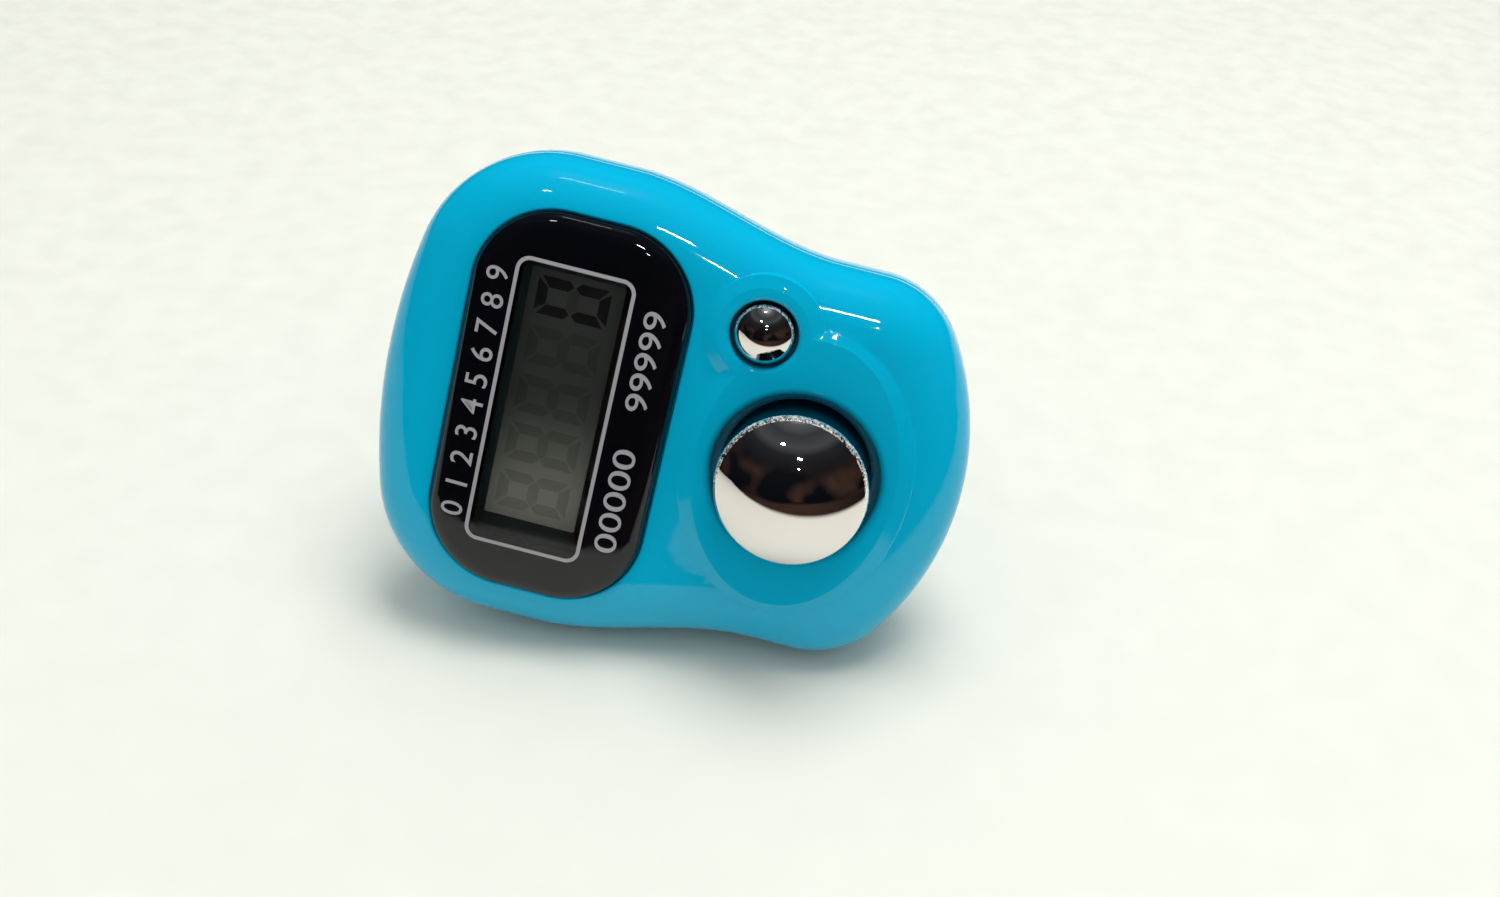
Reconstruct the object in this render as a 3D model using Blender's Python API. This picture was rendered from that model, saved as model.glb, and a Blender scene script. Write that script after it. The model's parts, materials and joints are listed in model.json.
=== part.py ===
"""Digital finger tally counter with a five-digit display, two domed buttons and a finger band.

Every piece is modelled in the case frame: X runs along the body from the display end to the
button end, Y runs across it and Z comes out of its face, with the joint between the two half
shells at Z = 0. The whole counter is then set down as it stands: on the lower edges of its two
lobes and on the finger band behind, leaning back.
"""
import math

import bmesh
import bpy
from mathutils import Matrix, Vector

MM = 0.001

# Clearances
FIT = 0.3 * MM
CLOSE_FIT = 0.2 * MM
PIN_PLAY = 0.1 * MM
OVERCUT = 1.0 * MM

# Case
WALL = 1.2 * MM
FRONT_HEIGHT = 3.7 * MM
FRONT_SHOULDER = 4.4 * MM
BACK_SHOULDER = 4.6 * MM
SHOULDER_POWER = 2.3
DISPLAY_END_MARGIN = 5.2 * MM
LENS_SIDE_MARGIN = 3.05 * MM
LENS_TO_COUNT = 8.8 * MM
COUNT_TO_END = 11.2 * MM
BUTTON_LOBE_WIDTH = 26.8 * MM
DISPLAY_END_RADIUS = 39.5 * MM
BUTTON_END_RADIUS = 19.2 * MM
DISPLAY_CORNER_RADIUS = 9.3 * MM
BUTTON_CORNER_RADIUS = 6.4 * MM
DISPLAY_SIDE_FLAT = 3.8 * MM
BUTTON_SIDE_FLAT = 3.1 * MM
LIP_THICKNESS = 0.7 * MM
LIP_HEIGHT = 0.9 * MM

# Lens and display panel
LENS_LENGTH = 14.8 * MM
LENS_WIDTH = 26.2 * MM
LENS_CORNER = 5.6 * MM
LENS_THICKNESS = 1.0 * MM
LENS_PROUD = 0.6 * MM
LENS_EDGE = 0.35 * MM
TRAY_THICKNESS = 0.9 * MM
TRAY_MARGIN = 1.0 * MM
WINDOW_SHIFT = -0.5 * MM
WINDOW_LENGTH = 8.4 * MM
WINDOW_WIDTH = 20.2 * MM
WINDOW_CORNER = 1.0 * MM
GLASS_LENGTH = 10.4 * MM
GLASS_WIDTH = 22.0 * MM
GLASS_THICKNESS = 0.55 * MM
CONTACT_LEDGE = 2.2 * MM
REFLECTOR_THICKNESS = 0.15 * MM
ZEBRA_LENGTH = 1.6 * MM
ZEBRA_WIDTH = 20.0 * MM

# Circuit board and what it carries
BOARD_CLEARANCE = 0.7 * MM
BOARD_THICKNESS = 0.8 * MM
BOARD_GAP = 0.4 * MM
BLOB_RADIUS = 3.0 * MM
BLOB_HEIGHT = 0.9 * MM
CHIP_LENGTH = 1.6 * MM
CHIP_WIDTH = 0.8 * MM
CHIP_HEIGHT = 0.55 * MM
CHIP_SPACING = 11.0 * MM
CHIP_FROM_COUNT = 6.4 * MM

# Button cell and its contacts
CELL_RADIUS = 5.8 * MM
CELL_HEIGHT = 3.05 * MM
CELL_CAP_RADIUS = 5.0 * MM
CELL_CAP_HEIGHT = 0.25 * MM
CELL_RIB = 0.7 * MM
CELL_RIB_HEIGHT = 2.0 * MM
SPRING_SHEET = 0.2 * MM
SPRING_ARCH = 0.4 * MM
SPRING_LENGTH = 8.0 * MM
SPRING_WIDTH = 3.0 * MM
CLIP_WIDTH = 3.2 * MM
CLIP_SHEET = 0.25 * MM
CLIP_TONGUE = 2.4 * MM

# Buttons
BUTTON_PAD_RISE = 0.25 * MM
PAD_LENGTH = 15.2 * MM
PAD_WIDTH = 19.8 * MM
PAD_OFFSET = 0.2 * MM
COUNT_OFFSET = -0.5 * MM
COUNT_KEY = {
    "radius": 5.05 * MM,
    "hole": 5.65 * MM,
    "rim_rounding": 0.5 * MM,
    "side_above": 2.85 * MM,
    "rise": 1.9 * MM,
    "rounding": 0.5 * MM,
    "travel": 0.9 * MM,
    "plunger": 1.6 * MM,
    "rubber": 3.2 * MM,
}
RESET_KEY = {
    "radius": 1.96 * MM,
    "hole": 2.26 * MM,
    "rim_rounding": 0.35 * MM,
    "side_above": -0.2 * MM,
    "rise": 0.95 * MM,
    "rounding": 0.25 * MM,
    "travel": 0.5 * MM,
    "plunger": 1.1 * MM,
    "rubber": 2.1 * MM,
}
RESET_BACK = 4.15 * MM
RESET_UP = 8.9 * MM
RESET_BOSS_RADIUS = 3.95 * MM
FLANGE_OVERLAP = 0.65 * MM
FLANGE_THICKNESS = 0.8 * MM
BUTTON_SKIN = 0.8 * MM
RUBBER_SKIN = 0.5 * MM
RUBBER_FOOT = 0.5 * MM
PILL_THICKNESS = 0.3 * MM
PILL_STOP_GAP = 0.1 * MM

# Case screws
SCREW_RADIUS = 0.65 * MM
SCREW_REACH = 1.9 * MM
SCREW_HEAD_RADIUS = 1.3 * MM
SCREW_HEAD_HEIGHT = 0.7 * MM
SCREW_SEAT_DEPTH = 1.8 * MM
SCREW_CROSS_WIDTH = 0.35 * MM
SCREW_CROSS_LENGTH = 1.5 * MM
SCREW_CROSS_DEPTH = 0.35 * MM
BOSS_RADIUS = 1.6 * MM
POST_RADIUS = 2.1 * MM
DISPLAY_BOSS_MARGIN = 5.0 * MM
DISPLAY_BOSS_SPACING = 16.0 * MM
BUTTON_BOSS_MARGIN = 7.0 * MM
BUTTON_BOSS_SPACING = 16.4 * MM

# Finger band
FINGER_RADIUS = 8.8 * MM
FINGER_DEPTH = 17.2 * MM
BAND_THICKNESS = 1.4 * MM
BAND_WIDTH = 9.0 * MM
BAND_SHIFT = -1.5 * MM
BAND_EDGE_CHAMFER = 0.3 * MM
KNUCKLE_RADIUS = 1.5 * MM
KNUCKLE_RISE = 1.9 * MM
PIN_RADIUS = 0.6 * MM
PIN_END = 0.4 * MM
EAR_THICKNESS = 1.3 * MM
EAR_RADIUS = 1.6 * MM
TAB_LENGTH = 3.4 * MM
TAB_BEND = 0.95 * MM
STUD_RADIUS = 0.8 * MM
STUD_FOOT = 0.8 * MM
STUD_ABOVE_TAB = 0.5 * MM
STUD_FROM_END = 1.5 * MM

# Standing: roughly which way is up in the case frame, and how often the feet are sought again
UP_AT_FIRST = Vector((-0.1, 1.0, 0.3))
STAND_TRIES = 12

# Facets
OUTLINE_END_STEPS = 4
OUTLINE_CORNER_STEPS = 7
OUTLINE_WAIST_STEPS = 9
SHOULDER_STEPS = 6
CORNER_STEPS = 6
ROUND_STEPS = 40
SMALL_ROUND_STEPS = 20
DOME_STEPS = 7
RIM_STEPS = 4
BEND_STEPS = 16

# Places that follow from the sizes above
PAD_TOP = FRONT_HEIGHT + BUTTON_PAD_RISE
FACE_UNDERSIDE = FRONT_HEIGHT - WALL
BODY_LENGTH = DISPLAY_END_MARGIN + LENS_LENGTH + LENS_TO_COUNT + COUNT_TO_END
DISPLAY_LOBE_WIDTH = LENS_WIDTH + 2 * LENS_SIDE_MARGIN
DISPLAY_END = -BODY_LENGTH / 2
BUTTON_END = BODY_LENGTH / 2
LENS_X = DISPLAY_END + DISPLAY_END_MARGIN + LENS_LENGTH / 2
WINDOW_X = LENS_X + WINDOW_SHIFT
COUNT_X = BUTTON_END - COUNT_TO_END
COUNT_Y = COUNT_OFFSET
RESET_X = COUNT_X - RESET_BACK
RESET_Y = COUNT_Y + RESET_UP
LENS_TOP = FRONT_HEIGHT + LENS_PROUD
LENS_BOTTOM = LENS_TOP - LENS_THICKNESS
TRAY_TOP = LENS_BOTTOM - FIT
TRAY_BOTTOM = TRAY_TOP - TRAY_THICKNESS
FRONT_GLASS_TOP = TRAY_BOTTOM - FIT
FRONT_GLASS_BOTTOM = FRONT_GLASS_TOP - GLASS_THICKNESS
REAR_GLASS_TOP = FRONT_GLASS_BOTTOM - CLOSE_FIT
REAR_GLASS_BOTTOM = REAR_GLASS_TOP - GLASS_THICKNESS
REFLECTOR_TOP = REAR_GLASS_BOTTOM - CLOSE_FIT
REFLECTOR_BOTTOM = REFLECTOR_TOP - REFLECTOR_THICKNESS
BOARD_TOP = REFLECTOR_BOTTOM - BOARD_CLEARANCE
BOARD_BOTTOM = BOARD_TOP - BOARD_THICKNESS
SPRING_TOP = BOARD_BOTTOM - CLOSE_FIT
CELL_TOP = SPRING_TOP - SPRING_ARCH - CLOSE_FIT
CELL_BOTTOM = CELL_TOP - CELL_HEIGHT
BACK_FLOOR = CELL_BOTTOM - FIT
BACK_FACE = BACK_FLOOR - WALL
CELL_X = WINDOW_X + CONTACT_LEDGE
SCREW_SEAT = BACK_FACE + SCREW_SEAT_DEPTH
FLANGE_TOP = FACE_UNDERSIDE - FIT
BAND_X = BAND_SHIFT
BAND_CENTRE_Z = BACK_FACE - FINGER_DEPTH + FINGER_RADIUS
BAND_LINE_RADIUS = FINGER_RADIUS + BAND_THICKNESS / 2
KNUCKLE_Y = -BAND_LINE_RADIUS
KNUCKLE_Z = BACK_FACE - KNUCKLE_RISE
TAB_Z = BACK_FACE - FIT - BAND_THICKNESS / 2
TAB_END_Y = BAND_LINE_RADIUS + TAB_LENGTH
STUD_Y = TAB_END_Y - STUD_FROM_END
DISPLAY_BOSS_X = DISPLAY_END + DISPLAY_BOSS_MARGIN
LIP_OUTER = WALL + FIT
LIP_INNER = LIP_OUTER + LIP_THICKNESS
BUTTON_BOSS_X = BUTTON_END - BUTTON_BOSS_MARGIN


def clear_scene():
    for old in list(bpy.data.objects):
        bpy.data.objects.remove(old, do_unlink=True)


def material(name, colour, roughness, metallic=0.0, alpha=1.0):
    made = bpy.data.materials.new(name)
    made.use_nodes = True
    shader = made.node_tree.nodes["Principled BSDF"]
    shader.inputs["Base Color"].default_value = (*colour, 1.0)
    shader.inputs["Roughness"].default_value = roughness
    shader.inputs["Metallic"].default_value = metallic
    shader.inputs["Alpha"].default_value = alpha
    return made


def finish_object(name, mesh_maker, finish=None, at=(0.0, 0.0, 0.0), smooth_angle=35.0):
    """Turn a bmesh into an object in the case frame."""
    bmesh.ops.recalc_face_normals(mesh_maker, faces=mesh_maker.faces)
    mesh = bpy.data.meshes.new(name)
    mesh_maker.to_mesh(mesh)
    mesh_maker.free()
    mesh.shade_smooth()
    mesh.set_sharp_from_angle(angle=math.radians(smooth_angle))
    made = bpy.data.objects.new(name, mesh)
    made.location = at
    made.parent = case_frame
    bpy.context.collection.objects.link(made)
    if finish is not None:
        mesh.materials.append(finish)
    return made


def hide_cutter(cutter):
    cutter.hide_render = True
    cutter.display_type = "WIRE"
    return cutter


def boolean(target, tool, operation):
    """Cut or join a hidden tool solid into the target."""
    hide_cutter(tool)
    step = target.modifiers.new(tool.name, "BOOLEAN")
    step.operation = operation
    step.solver = "EXACT"
    step.object = tool
    return target


def cut(target, tool):
    return boolean(target, tool, "DIFFERENCE")


def join(target, tool):
    return boolean(target, tool, "UNION")


def loft(name, rings, finish=None, at=(0.0, 0.0, 0.0)):
    """A closed solid through rings of points, each ring closed and flat."""
    maker = bmesh.new()
    loops = []
    for ring in rings:
        points = [maker.verts.new(point) for point in ring]
        edges = [maker.edges.new((points[i - 1], points[i])) for i in range(len(points))]
        loops.append((points, edges))
    for (_, low), (_, high) in zip(loops, loops[1:]):
        bmesh.ops.bridge_loops(maker, edges=low + high)
    maker.faces.new(loops[0][0])
    maker.faces.new(loops[-1][0])
    return finish_object(name, maker, finish, at)


def prism(name, outline, low, high, finish=None, at=(0.0, 0.0, 0.0)):
    rings = [[(x, y, z) for x, y in outline] for z in (low, high)]
    return loft(name, rings, finish, at)


def turned(name, profile, steps, finish=None, at=(0.0, 0.0, 0.0)):
    """A round solid: a profile of (radius, height) from pole to pole, spun about Z."""
    maker = bmesh.new()
    points = [maker.verts.new((radius, 0.0, height)) for radius, height in profile]
    edges = [maker.edges.new(pair) for pair in zip(points, points[1:])]
    bmesh.ops.spin(
        maker,
        geom=points + edges,
        axis=(0.0, 0.0, 1.0),
        cent=(0.0, 0.0, 0.0),
        angle=math.tau,
        steps=steps,
        use_merge=True,
    )
    bmesh.ops.remove_doubles(maker, verts=maker.verts, dist=1e-7)
    return finish_object(name, maker, finish, at)


def cylinder(name, radius, low, high, finish=None, at=(0.0, 0.0, 0.0), steps=SMALL_ROUND_STEPS):
    profile = [(0.0, low), (radius, low), (radius, high), (0.0, high)]
    return turned(name, profile, steps, finish, at)


def block(name, size, centre, finish=None):
    maker = bmesh.new()
    bmesh.ops.create_cube(maker, size=1.0)
    bmesh.ops.scale(maker, vec=size, verts=maker.verts)
    return finish_object(name, maker, finish, centre)


def arc(centre, radius, start, end, steps):
    """Points and outward normals on an arc, both ends included."""
    made = []
    for i in range(steps + 1):
        angle = start + (end - start) * i / steps
        normal = (math.cos(angle), math.sin(angle))
        point = (centre[0] + radius * normal[0], centre[1] + radius * normal[1])
        made.append((point, normal))
    return made


def upper_edge():
    """Half of the body's outline as points and normals, from the display end to the button end."""
    display_half = DISPLAY_LOBE_WIDTH / 2
    button_half = BUTTON_LOBE_WIDTH / 2
    end_a = (DISPLAY_END + DISPLAY_END_RADIUS, 0.0)
    rise_a = display_half - DISPLAY_CORNER_RADIUS
    reach_a = math.sqrt((DISPLAY_END_RADIUS - DISPLAY_CORNER_RADIUS) ** 2 - rise_a ** 2)
    corner_a = (end_a[0] - reach_a, rise_a)
    turn_a = math.pi - math.asin(rise_a / (DISPLAY_END_RADIUS - DISPLAY_CORNER_RADIUS))
    end_b = (BUTTON_END - BUTTON_END_RADIUS, 0.0)
    rise_b = button_half - BUTTON_CORNER_RADIUS
    reach_b = math.sqrt((BUTTON_END_RADIUS - BUTTON_CORNER_RADIUS) ** 2 - rise_b ** 2)
    corner_b = (end_b[0] + reach_b, rise_b)
    turn_b = math.asin(rise_b / (BUTTON_END_RADIUS - BUTTON_CORNER_RADIUS))
    made = arc(end_a, DISPLAY_END_RADIUS, math.pi, turn_a, OUTLINE_END_STEPS)
    made += arc(corner_a, DISPLAY_CORNER_RADIUS, turn_a, math.pi / 2, OUTLINE_CORNER_STEPS)[1:]
    start = corner_a[0] + DISPLAY_SIDE_FLAT
    span = corner_b[0] - BUTTON_SIDE_FLAT - start
    drop = display_half - button_half
    for i in range(OUTLINE_WAIST_STEPS + 1):
        t = i / OUTLINE_WAIST_STEPS
        height = display_half - drop * (3 * t ** 2 - 2 * t ** 3)
        slope = -drop * 6 * t * (1 - t) / span
        length = math.hypot(1.0, slope)
        made.append(((start + span * t, height), (-slope / length, 1.0 / length)))
    made += arc(corner_b, BUTTON_CORNER_RADIUS, math.pi / 2, turn_b, OUTLINE_CORNER_STEPS)
    made += arc(end_b, BUTTON_END_RADIUS, turn_b, 0.0, OUTLINE_END_STEPS)[1:]
    return made


def body_outline(inset):
    """The whole outline, drawn in from the case's edge by an inset."""
    upper = [(x - inset * nx, y - inset * ny) for (x, y), (nx, ny) in upper_edge()]
    lower = [(x, -y) for x, y in reversed(upper[1:-1])]
    return upper + lower


def rounded_rectangle(length, width, corner, centre=(0.0, 0.0)):
    made = []
    for quarter, (sign_x, sign_y) in enumerate(((1, 1), (-1, 1), (-1, -1), (1, -1))):
        start = quarter * math.pi / 2
        middle_x = centre[0] + sign_x * (length / 2 - corner)
        middle_y = centre[1] + sign_y * (width / 2 - corner)
        around = arc((middle_x, middle_y), corner, start, start + math.pi / 2, CORNER_STEPS)
        made += [point for point, _ in around]
    return made


def ellipse(length, width, centre):
    made = []
    for i in range(ROUND_STEPS):
        angle = math.tau * i / ROUND_STEPS
        made.append((centre[0] + length / 2 * math.cos(angle), centre[1] + width / 2 * math.sin(angle)))
    return made


def pillow_rings(inset, shoulder, base, top):
    """Rings that rise from the outline over a rounded shoulder to a flat top."""
    rings = []
    for i in range(SHOULDER_STEPS + 1):
        angle = math.pi / 2 * i / SHOULDER_STEPS
        across = 1.0 - max(math.cos(angle), 0.0) ** (2 / SHOULDER_POWER)
        up = math.sin(angle) ** (2 / SHOULDER_POWER)
        outline = body_outline(inset + shoulder * across)
        height = base + (top - base) * up
        rings.append([(x, y, height) for x, y in outline])
    return rings


def open_cavity(rings, mouth):
    """The same rings carried past the parting plane, so that a cavity cut from them is open."""
    first = [(x, y, mouth) for x, y, _ in rings[0]]
    return [first] + rings


def boss_places():
    places = []
    for x, spacing in ((DISPLAY_BOSS_X, DISPLAY_BOSS_SPACING), (BUTTON_BOSS_X, BUTTON_BOSS_SPACING)):
        for side in (-1, 1):
            places.append((x, side * spacing / 2, 0.0))
    return places


def rim_cutter(name, key, centre):
    """A button's hole through the face, with its upper edge rolled over."""
    radius = key["hole"]
    rounding = key["rim_rounding"]
    profile = [(0.0, -OVERCUT), (radius, -OVERCUT), (radius, PAD_TOP - rounding)]
    for i in range(1, RIM_STEPS + 1):
        angle = math.pi / 2 * i / RIM_STEPS
        across = rounding * (1 - math.cos(angle))
        down = rounding * (1 - math.sin(angle))
        profile.append((radius + across, PAD_TOP - down))
    profile += [(radius + rounding, PAD_TOP + OVERCUT), (0.0, PAD_TOP + OVERCUT)]
    return turned(name, profile, ROUND_STEPS, at=(*centre, 0.0))


def front_case():
    finish = material("turquoise_gloss_abs", (0.0, 0.37, 0.56), 0.12)
    half_gap = FIT / 2
    rings = pillow_rings(0.0, FRONT_SHOULDER, half_gap, FRONT_HEIGHT)
    case = loft("front_case", rings, finish)
    pad = ellipse(PAD_LENGTH, PAD_WIDTH, (COUNT_X, COUNT_Y + PAD_OFFSET))
    join(case, prism("button_pad_tool", pad, FACE_UNDERSIDE, PAD_TOP))
    reset_at = (RESET_X, RESET_Y, 0.0)
    boss_foot = half_gap + OVERCUT
    boss = RESET_BOSS_RADIUS
    join(case, cylinder("reset_boss_tool", boss, boss_foot, PAD_TOP, at=reset_at, steps=ROUND_STEPS))
    hollow = pillow_rings(WALL, FRONT_SHOULDER - FIT, half_gap, FACE_UNDERSIDE)
    cavity = loft("front_cavity_tool", open_cavity(hollow, -OVERCUT))
    tray_length = LENS_LENGTH + 2 * TRAY_MARGIN
    tray_width = LENS_WIDTH + 2 * TRAY_MARGIN
    tray = rounded_rectangle(tray_length, tray_width, LENS_CORNER + TRAY_MARGIN, (LENS_X, 0.0))
    cut(cavity, prism("lens_tray_tool", tray, TRAY_BOTTOM, LENS_TOP))
    for i, place in enumerate(boss_places(), 1):
        cut(cavity, cylinder(f"front_boss_tool_{i}", BOSS_RADIUS, BOARD_TOP + FIT, LENS_TOP, at=place))
    cut(case, cavity)
    for i, place in enumerate(boss_places(), 1):
        radius = SCREW_RADIUS + FIT
        cut(case, cylinder(f"front_screw_hole_tool_{i}", radius, -2 * OVERCUT, SCREW_REACH, at=place))
    pocket = rounded_rectangle(LENS_LENGTH, LENS_WIDTH, LENS_CORNER, (LENS_X, 0.0))
    cut(case, prism("lens_pocket_tool", pocket, TRAY_TOP, LENS_TOP + OVERCUT))
    window = rounded_rectangle(WINDOW_LENGTH, WINDOW_WIDTH, WINDOW_CORNER, (WINDOW_X, 0.0))
    cut(case, prism("window_tool", window, TRAY_BOTTOM - OVERCUT, LENS_TOP))
    well = RESET_KEY["hole"] + FLANGE_OVERLAP + FIT
    cut(case, cylinder("reset_well_tool", well, -OVERCUT, FACE_UNDERSIDE, at=reset_at, steps=ROUND_STEPS))
    cut(case, rim_cutter("count_hole_tool", COUNT_KEY, (COUNT_X, COUNT_Y)))
    cut(case, rim_cutter("reset_hole_tool", RESET_KEY, (RESET_X, RESET_Y)))


def back_case():
    finish = material("turquoise_gloss_abs_back", (0.0, 0.37, 0.56), 0.14)
    half_gap = FIT / 2
    case = loft("back_case", pillow_rings(0.0, BACK_SHOULDER, -half_gap, BACK_FACE), finish)
    join(case, prism("lip_tool", body_outline(LIP_OUTER), -WALL, LIP_HEIGHT))
    inner_shoulder = BACK_SHOULDER - LIP_INNER + WALL
    hollow = pillow_rings(LIP_INNER, inner_shoulder, -half_gap, BACK_FLOOR)
    cavity = loft("back_cavity_tool", open_cavity(hollow, LIP_HEIGHT + OVERCUT))
    for i, place in enumerate(boss_places(), 1):
        cut(cavity, cylinder(f"back_post_tool_{i}", POST_RADIUS, BACK_FACE, BOARD_BOTTOM - FIT, at=place))
    well_inner = CELL_RADIUS + FIT
    rib = [
        (well_inner, BACK_FACE),
        (well_inner + CELL_RIB, BACK_FACE),
        (well_inner + CELL_RIB, BACK_FLOOR + CELL_RIB_HEIGHT),
        (well_inner, BACK_FLOOR + CELL_RIB_HEIGHT),
        (well_inner, BACK_FACE),
    ]
    cell_rib = turned("cell_rib_tool", rib, ROUND_STEPS, at=(CELL_X, 0.0, 0.0))
    notch_at = (CELL_X - CELL_RADIUS, 0.0, BACK_FLOOR)
    notch_size = (3 * CELL_RIB + 2 * FIT, CLIP_WIDTH + 2 * FIT, 2 * CELL_RIB_HEIGHT + OVERCUT)
    cut(cell_rib, block("clip_notch_tool", notch_size, notch_at))
    cut(cavity, cell_rib)
    cut(case, cavity)
    ear_offset = BAND_WIDTH / 2 + FIT + EAR_THICKNESS / 2
    for name, side in (("left", -1), ("right", 1)):
        join(case, pin_ear(f"pin_ear_{name}_tool", BAND_X + side * ear_offset))
    pin_hole = cylinder("pin_hole_tool", PIN_RADIUS + PIN_PLAY, -BAND_WIDTH, BAND_WIDTH)
    turn_to_x(pin_hole, (BAND_X, KNUCKLE_Y, KNUCKLE_Z))
    cut(case, pin_hole)
    stud_hole = STUD_RADIUS + CLOSE_FIT
    stud_at = (BAND_X, STUD_Y, 0.0)
    top = BACK_FACE + STUD_FOOT + FIT
    cut(case, cylinder("stud_hole_tool", stud_hole, BACK_FACE - OVERCUT, top, at=stud_at))
    head_radius = SCREW_HEAD_RADIUS + FIT
    screw_radius = SCREW_RADIUS + FIT
    stepped = [
        (0.0, BACK_FACE - OVERCUT),
        (head_radius, BACK_FACE - OVERCUT),
        (head_radius, SCREW_SEAT),
        (screw_radius, SCREW_SEAT),
        (screw_radius, OVERCUT),
        (0.0, OVERCUT),
    ]
    for i, place in enumerate(boss_places(), 1):
        cut(case, turned(f"back_screw_hole_tool_{i}", stepped, SMALL_ROUND_STEPS, at=place))


def turn_to_x(piece, place):
    """Lay a piece turned about Z along the band's axis, which runs along X."""
    piece.location = place
    piece.rotation_euler = (0.0, math.pi / 2, 0.0)


def pin_ear(name, x):
    """An ear for the band's pin: round at the pin and wide where it grows from the case."""
    root = BACK_FACE + WALL / 2
    around = arc((0.0, 0.0), EAR_RADIUS, math.pi, math.tau, 2 * CORNER_STEPS)
    outline = [(KNUCKLE_Y + y, KNUCKLE_Z + z) for (y, z), _ in around]
    flare = EAR_RADIUS + WALL / 2
    outline += [(KNUCKLE_Y + flare, root), (KNUCKLE_Y - flare, root)]
    rings = []
    for side in (-1, 1):
        plane = x + side * EAR_THICKNESS / 2
        rings.append([(plane, y, z) for y, z in outline])
    return loft(name, rings)


def display_lens():
    finish = material("black_acrylic", (0.012, 0.012, 0.015), 0.05)
    levels = [(0.0, LENS_BOTTOM)]
    for i in range(RIM_STEPS + 1):
        angle = math.pi / 2 * i / RIM_STEPS
        drop = LENS_EDGE * (1 - math.sin(angle))
        levels.append((LENS_EDGE * (1 - math.cos(angle)), LENS_TOP - drop))
    rings = []
    for inset, height in levels:
        gap = 2 * (FIT + inset)
        corner = LENS_CORNER - FIT - inset
        outline = rounded_rectangle(LENS_LENGTH - gap, LENS_WIDTH - gap, corner, (LENS_X, 0.0))
        rings.append([(x, y, height) for x, y in outline])
    loft("display_lens", rings, finish)


def display_panel():
    glass = material("display_glass", (0.30, 0.33, 0.27), 0.08)
    size = (GLASS_LENGTH, GLASS_WIDTH, GLASS_THICKNESS)
    block("lcd_front_glass", size, (WINDOW_X, 0.0, (FRONT_GLASS_TOP + FRONT_GLASS_BOTTOM) / 2), glass)
    rear_length = GLASS_LENGTH - CONTACT_LEDGE
    rear_x = WINDOW_X - CONTACT_LEDGE / 2
    rear_glass = material("display_rear_glass", (0.27, 0.30, 0.24), 0.1)
    rear_z = (REAR_GLASS_TOP + REAR_GLASS_BOTTOM) / 2
    block("lcd_rear_glass", (rear_length, GLASS_WIDTH, GLASS_THICKNESS), (rear_x, 0.0, rear_z), rear_glass)
    silver = material("reflector_film", (0.55, 0.57, 0.52), 0.35, metallic=0.6)
    film_z = (REFLECTOR_TOP + REFLECTOR_BOTTOM) / 2
    block("lcd_reflector", (rear_length, GLASS_WIDTH, REFLECTOR_THICKNESS), (rear_x, 0.0, film_z), silver)
    pink = material("conductive_elastomer", (0.42, 0.20, 0.20), 0.7)
    low = BOARD_TOP + FIT
    high = FRONT_GLASS_BOTTOM - CLOSE_FIT
    zebra_x = WINDOW_X + GLASS_LENGTH / 2 - CONTACT_LEDGE / 2
    block("zebra_strip", (ZEBRA_LENGTH, ZEBRA_WIDTH, high - low), (zebra_x, 0.0, (low + high) / 2), pink)


def circuit_board():
    green = material("green_solder_mask", (0.02, 0.17, 0.06), 0.35)
    board = prism("circuit_board", body_outline(LIP_INNER + BOARD_GAP), BOARD_BOTTOM, BOARD_TOP, green)
    radius = SCREW_RADIUS + FIT
    low = BOARD_BOTTOM - OVERCUT
    high = BOARD_TOP + OVERCUT
    for i, place in enumerate(boss_places(), 1):
        cut(board, cylinder(f"board_hole_tool_{i}", radius, low, high, at=place))
    resin = material("black_epoxy", (0.02, 0.02, 0.02), 0.3)
    top = BOARD_BOTTOM - CLOSE_FIT
    profile = [(0.0, top), (BLOB_RADIUS, top)]
    for i in range(1, DOME_STEPS):
        angle = math.pi / 2 * i / DOME_STEPS
        profile.append((BLOB_RADIUS * math.cos(angle), top - BLOB_HEIGHT * math.sin(angle)))
    profile.append((0.0, top - BLOB_HEIGHT))
    turned("controller_blob", profile, SMALL_ROUND_STEPS, resin, (COUNT_X, 0.0, 0.0))
    ceramic = material("tan_ceramic", (0.45, 0.33, 0.20), 0.5)
    dark = material("black_thick_film", (0.03, 0.03, 0.03), 0.45)
    chip_x = COUNT_X - CHIP_FROM_COUNT
    for name, side, finish in (("filter_capacitor", -1, ceramic), ("timing_resistor", 1, dark)):
        middle = (chip_x, side * CHIP_SPACING / 2, top - CHIP_HEIGHT / 2)
        block(name, (CHIP_LENGTH, CHIP_WIDTH, CHIP_HEIGHT), middle, finish)


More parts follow.
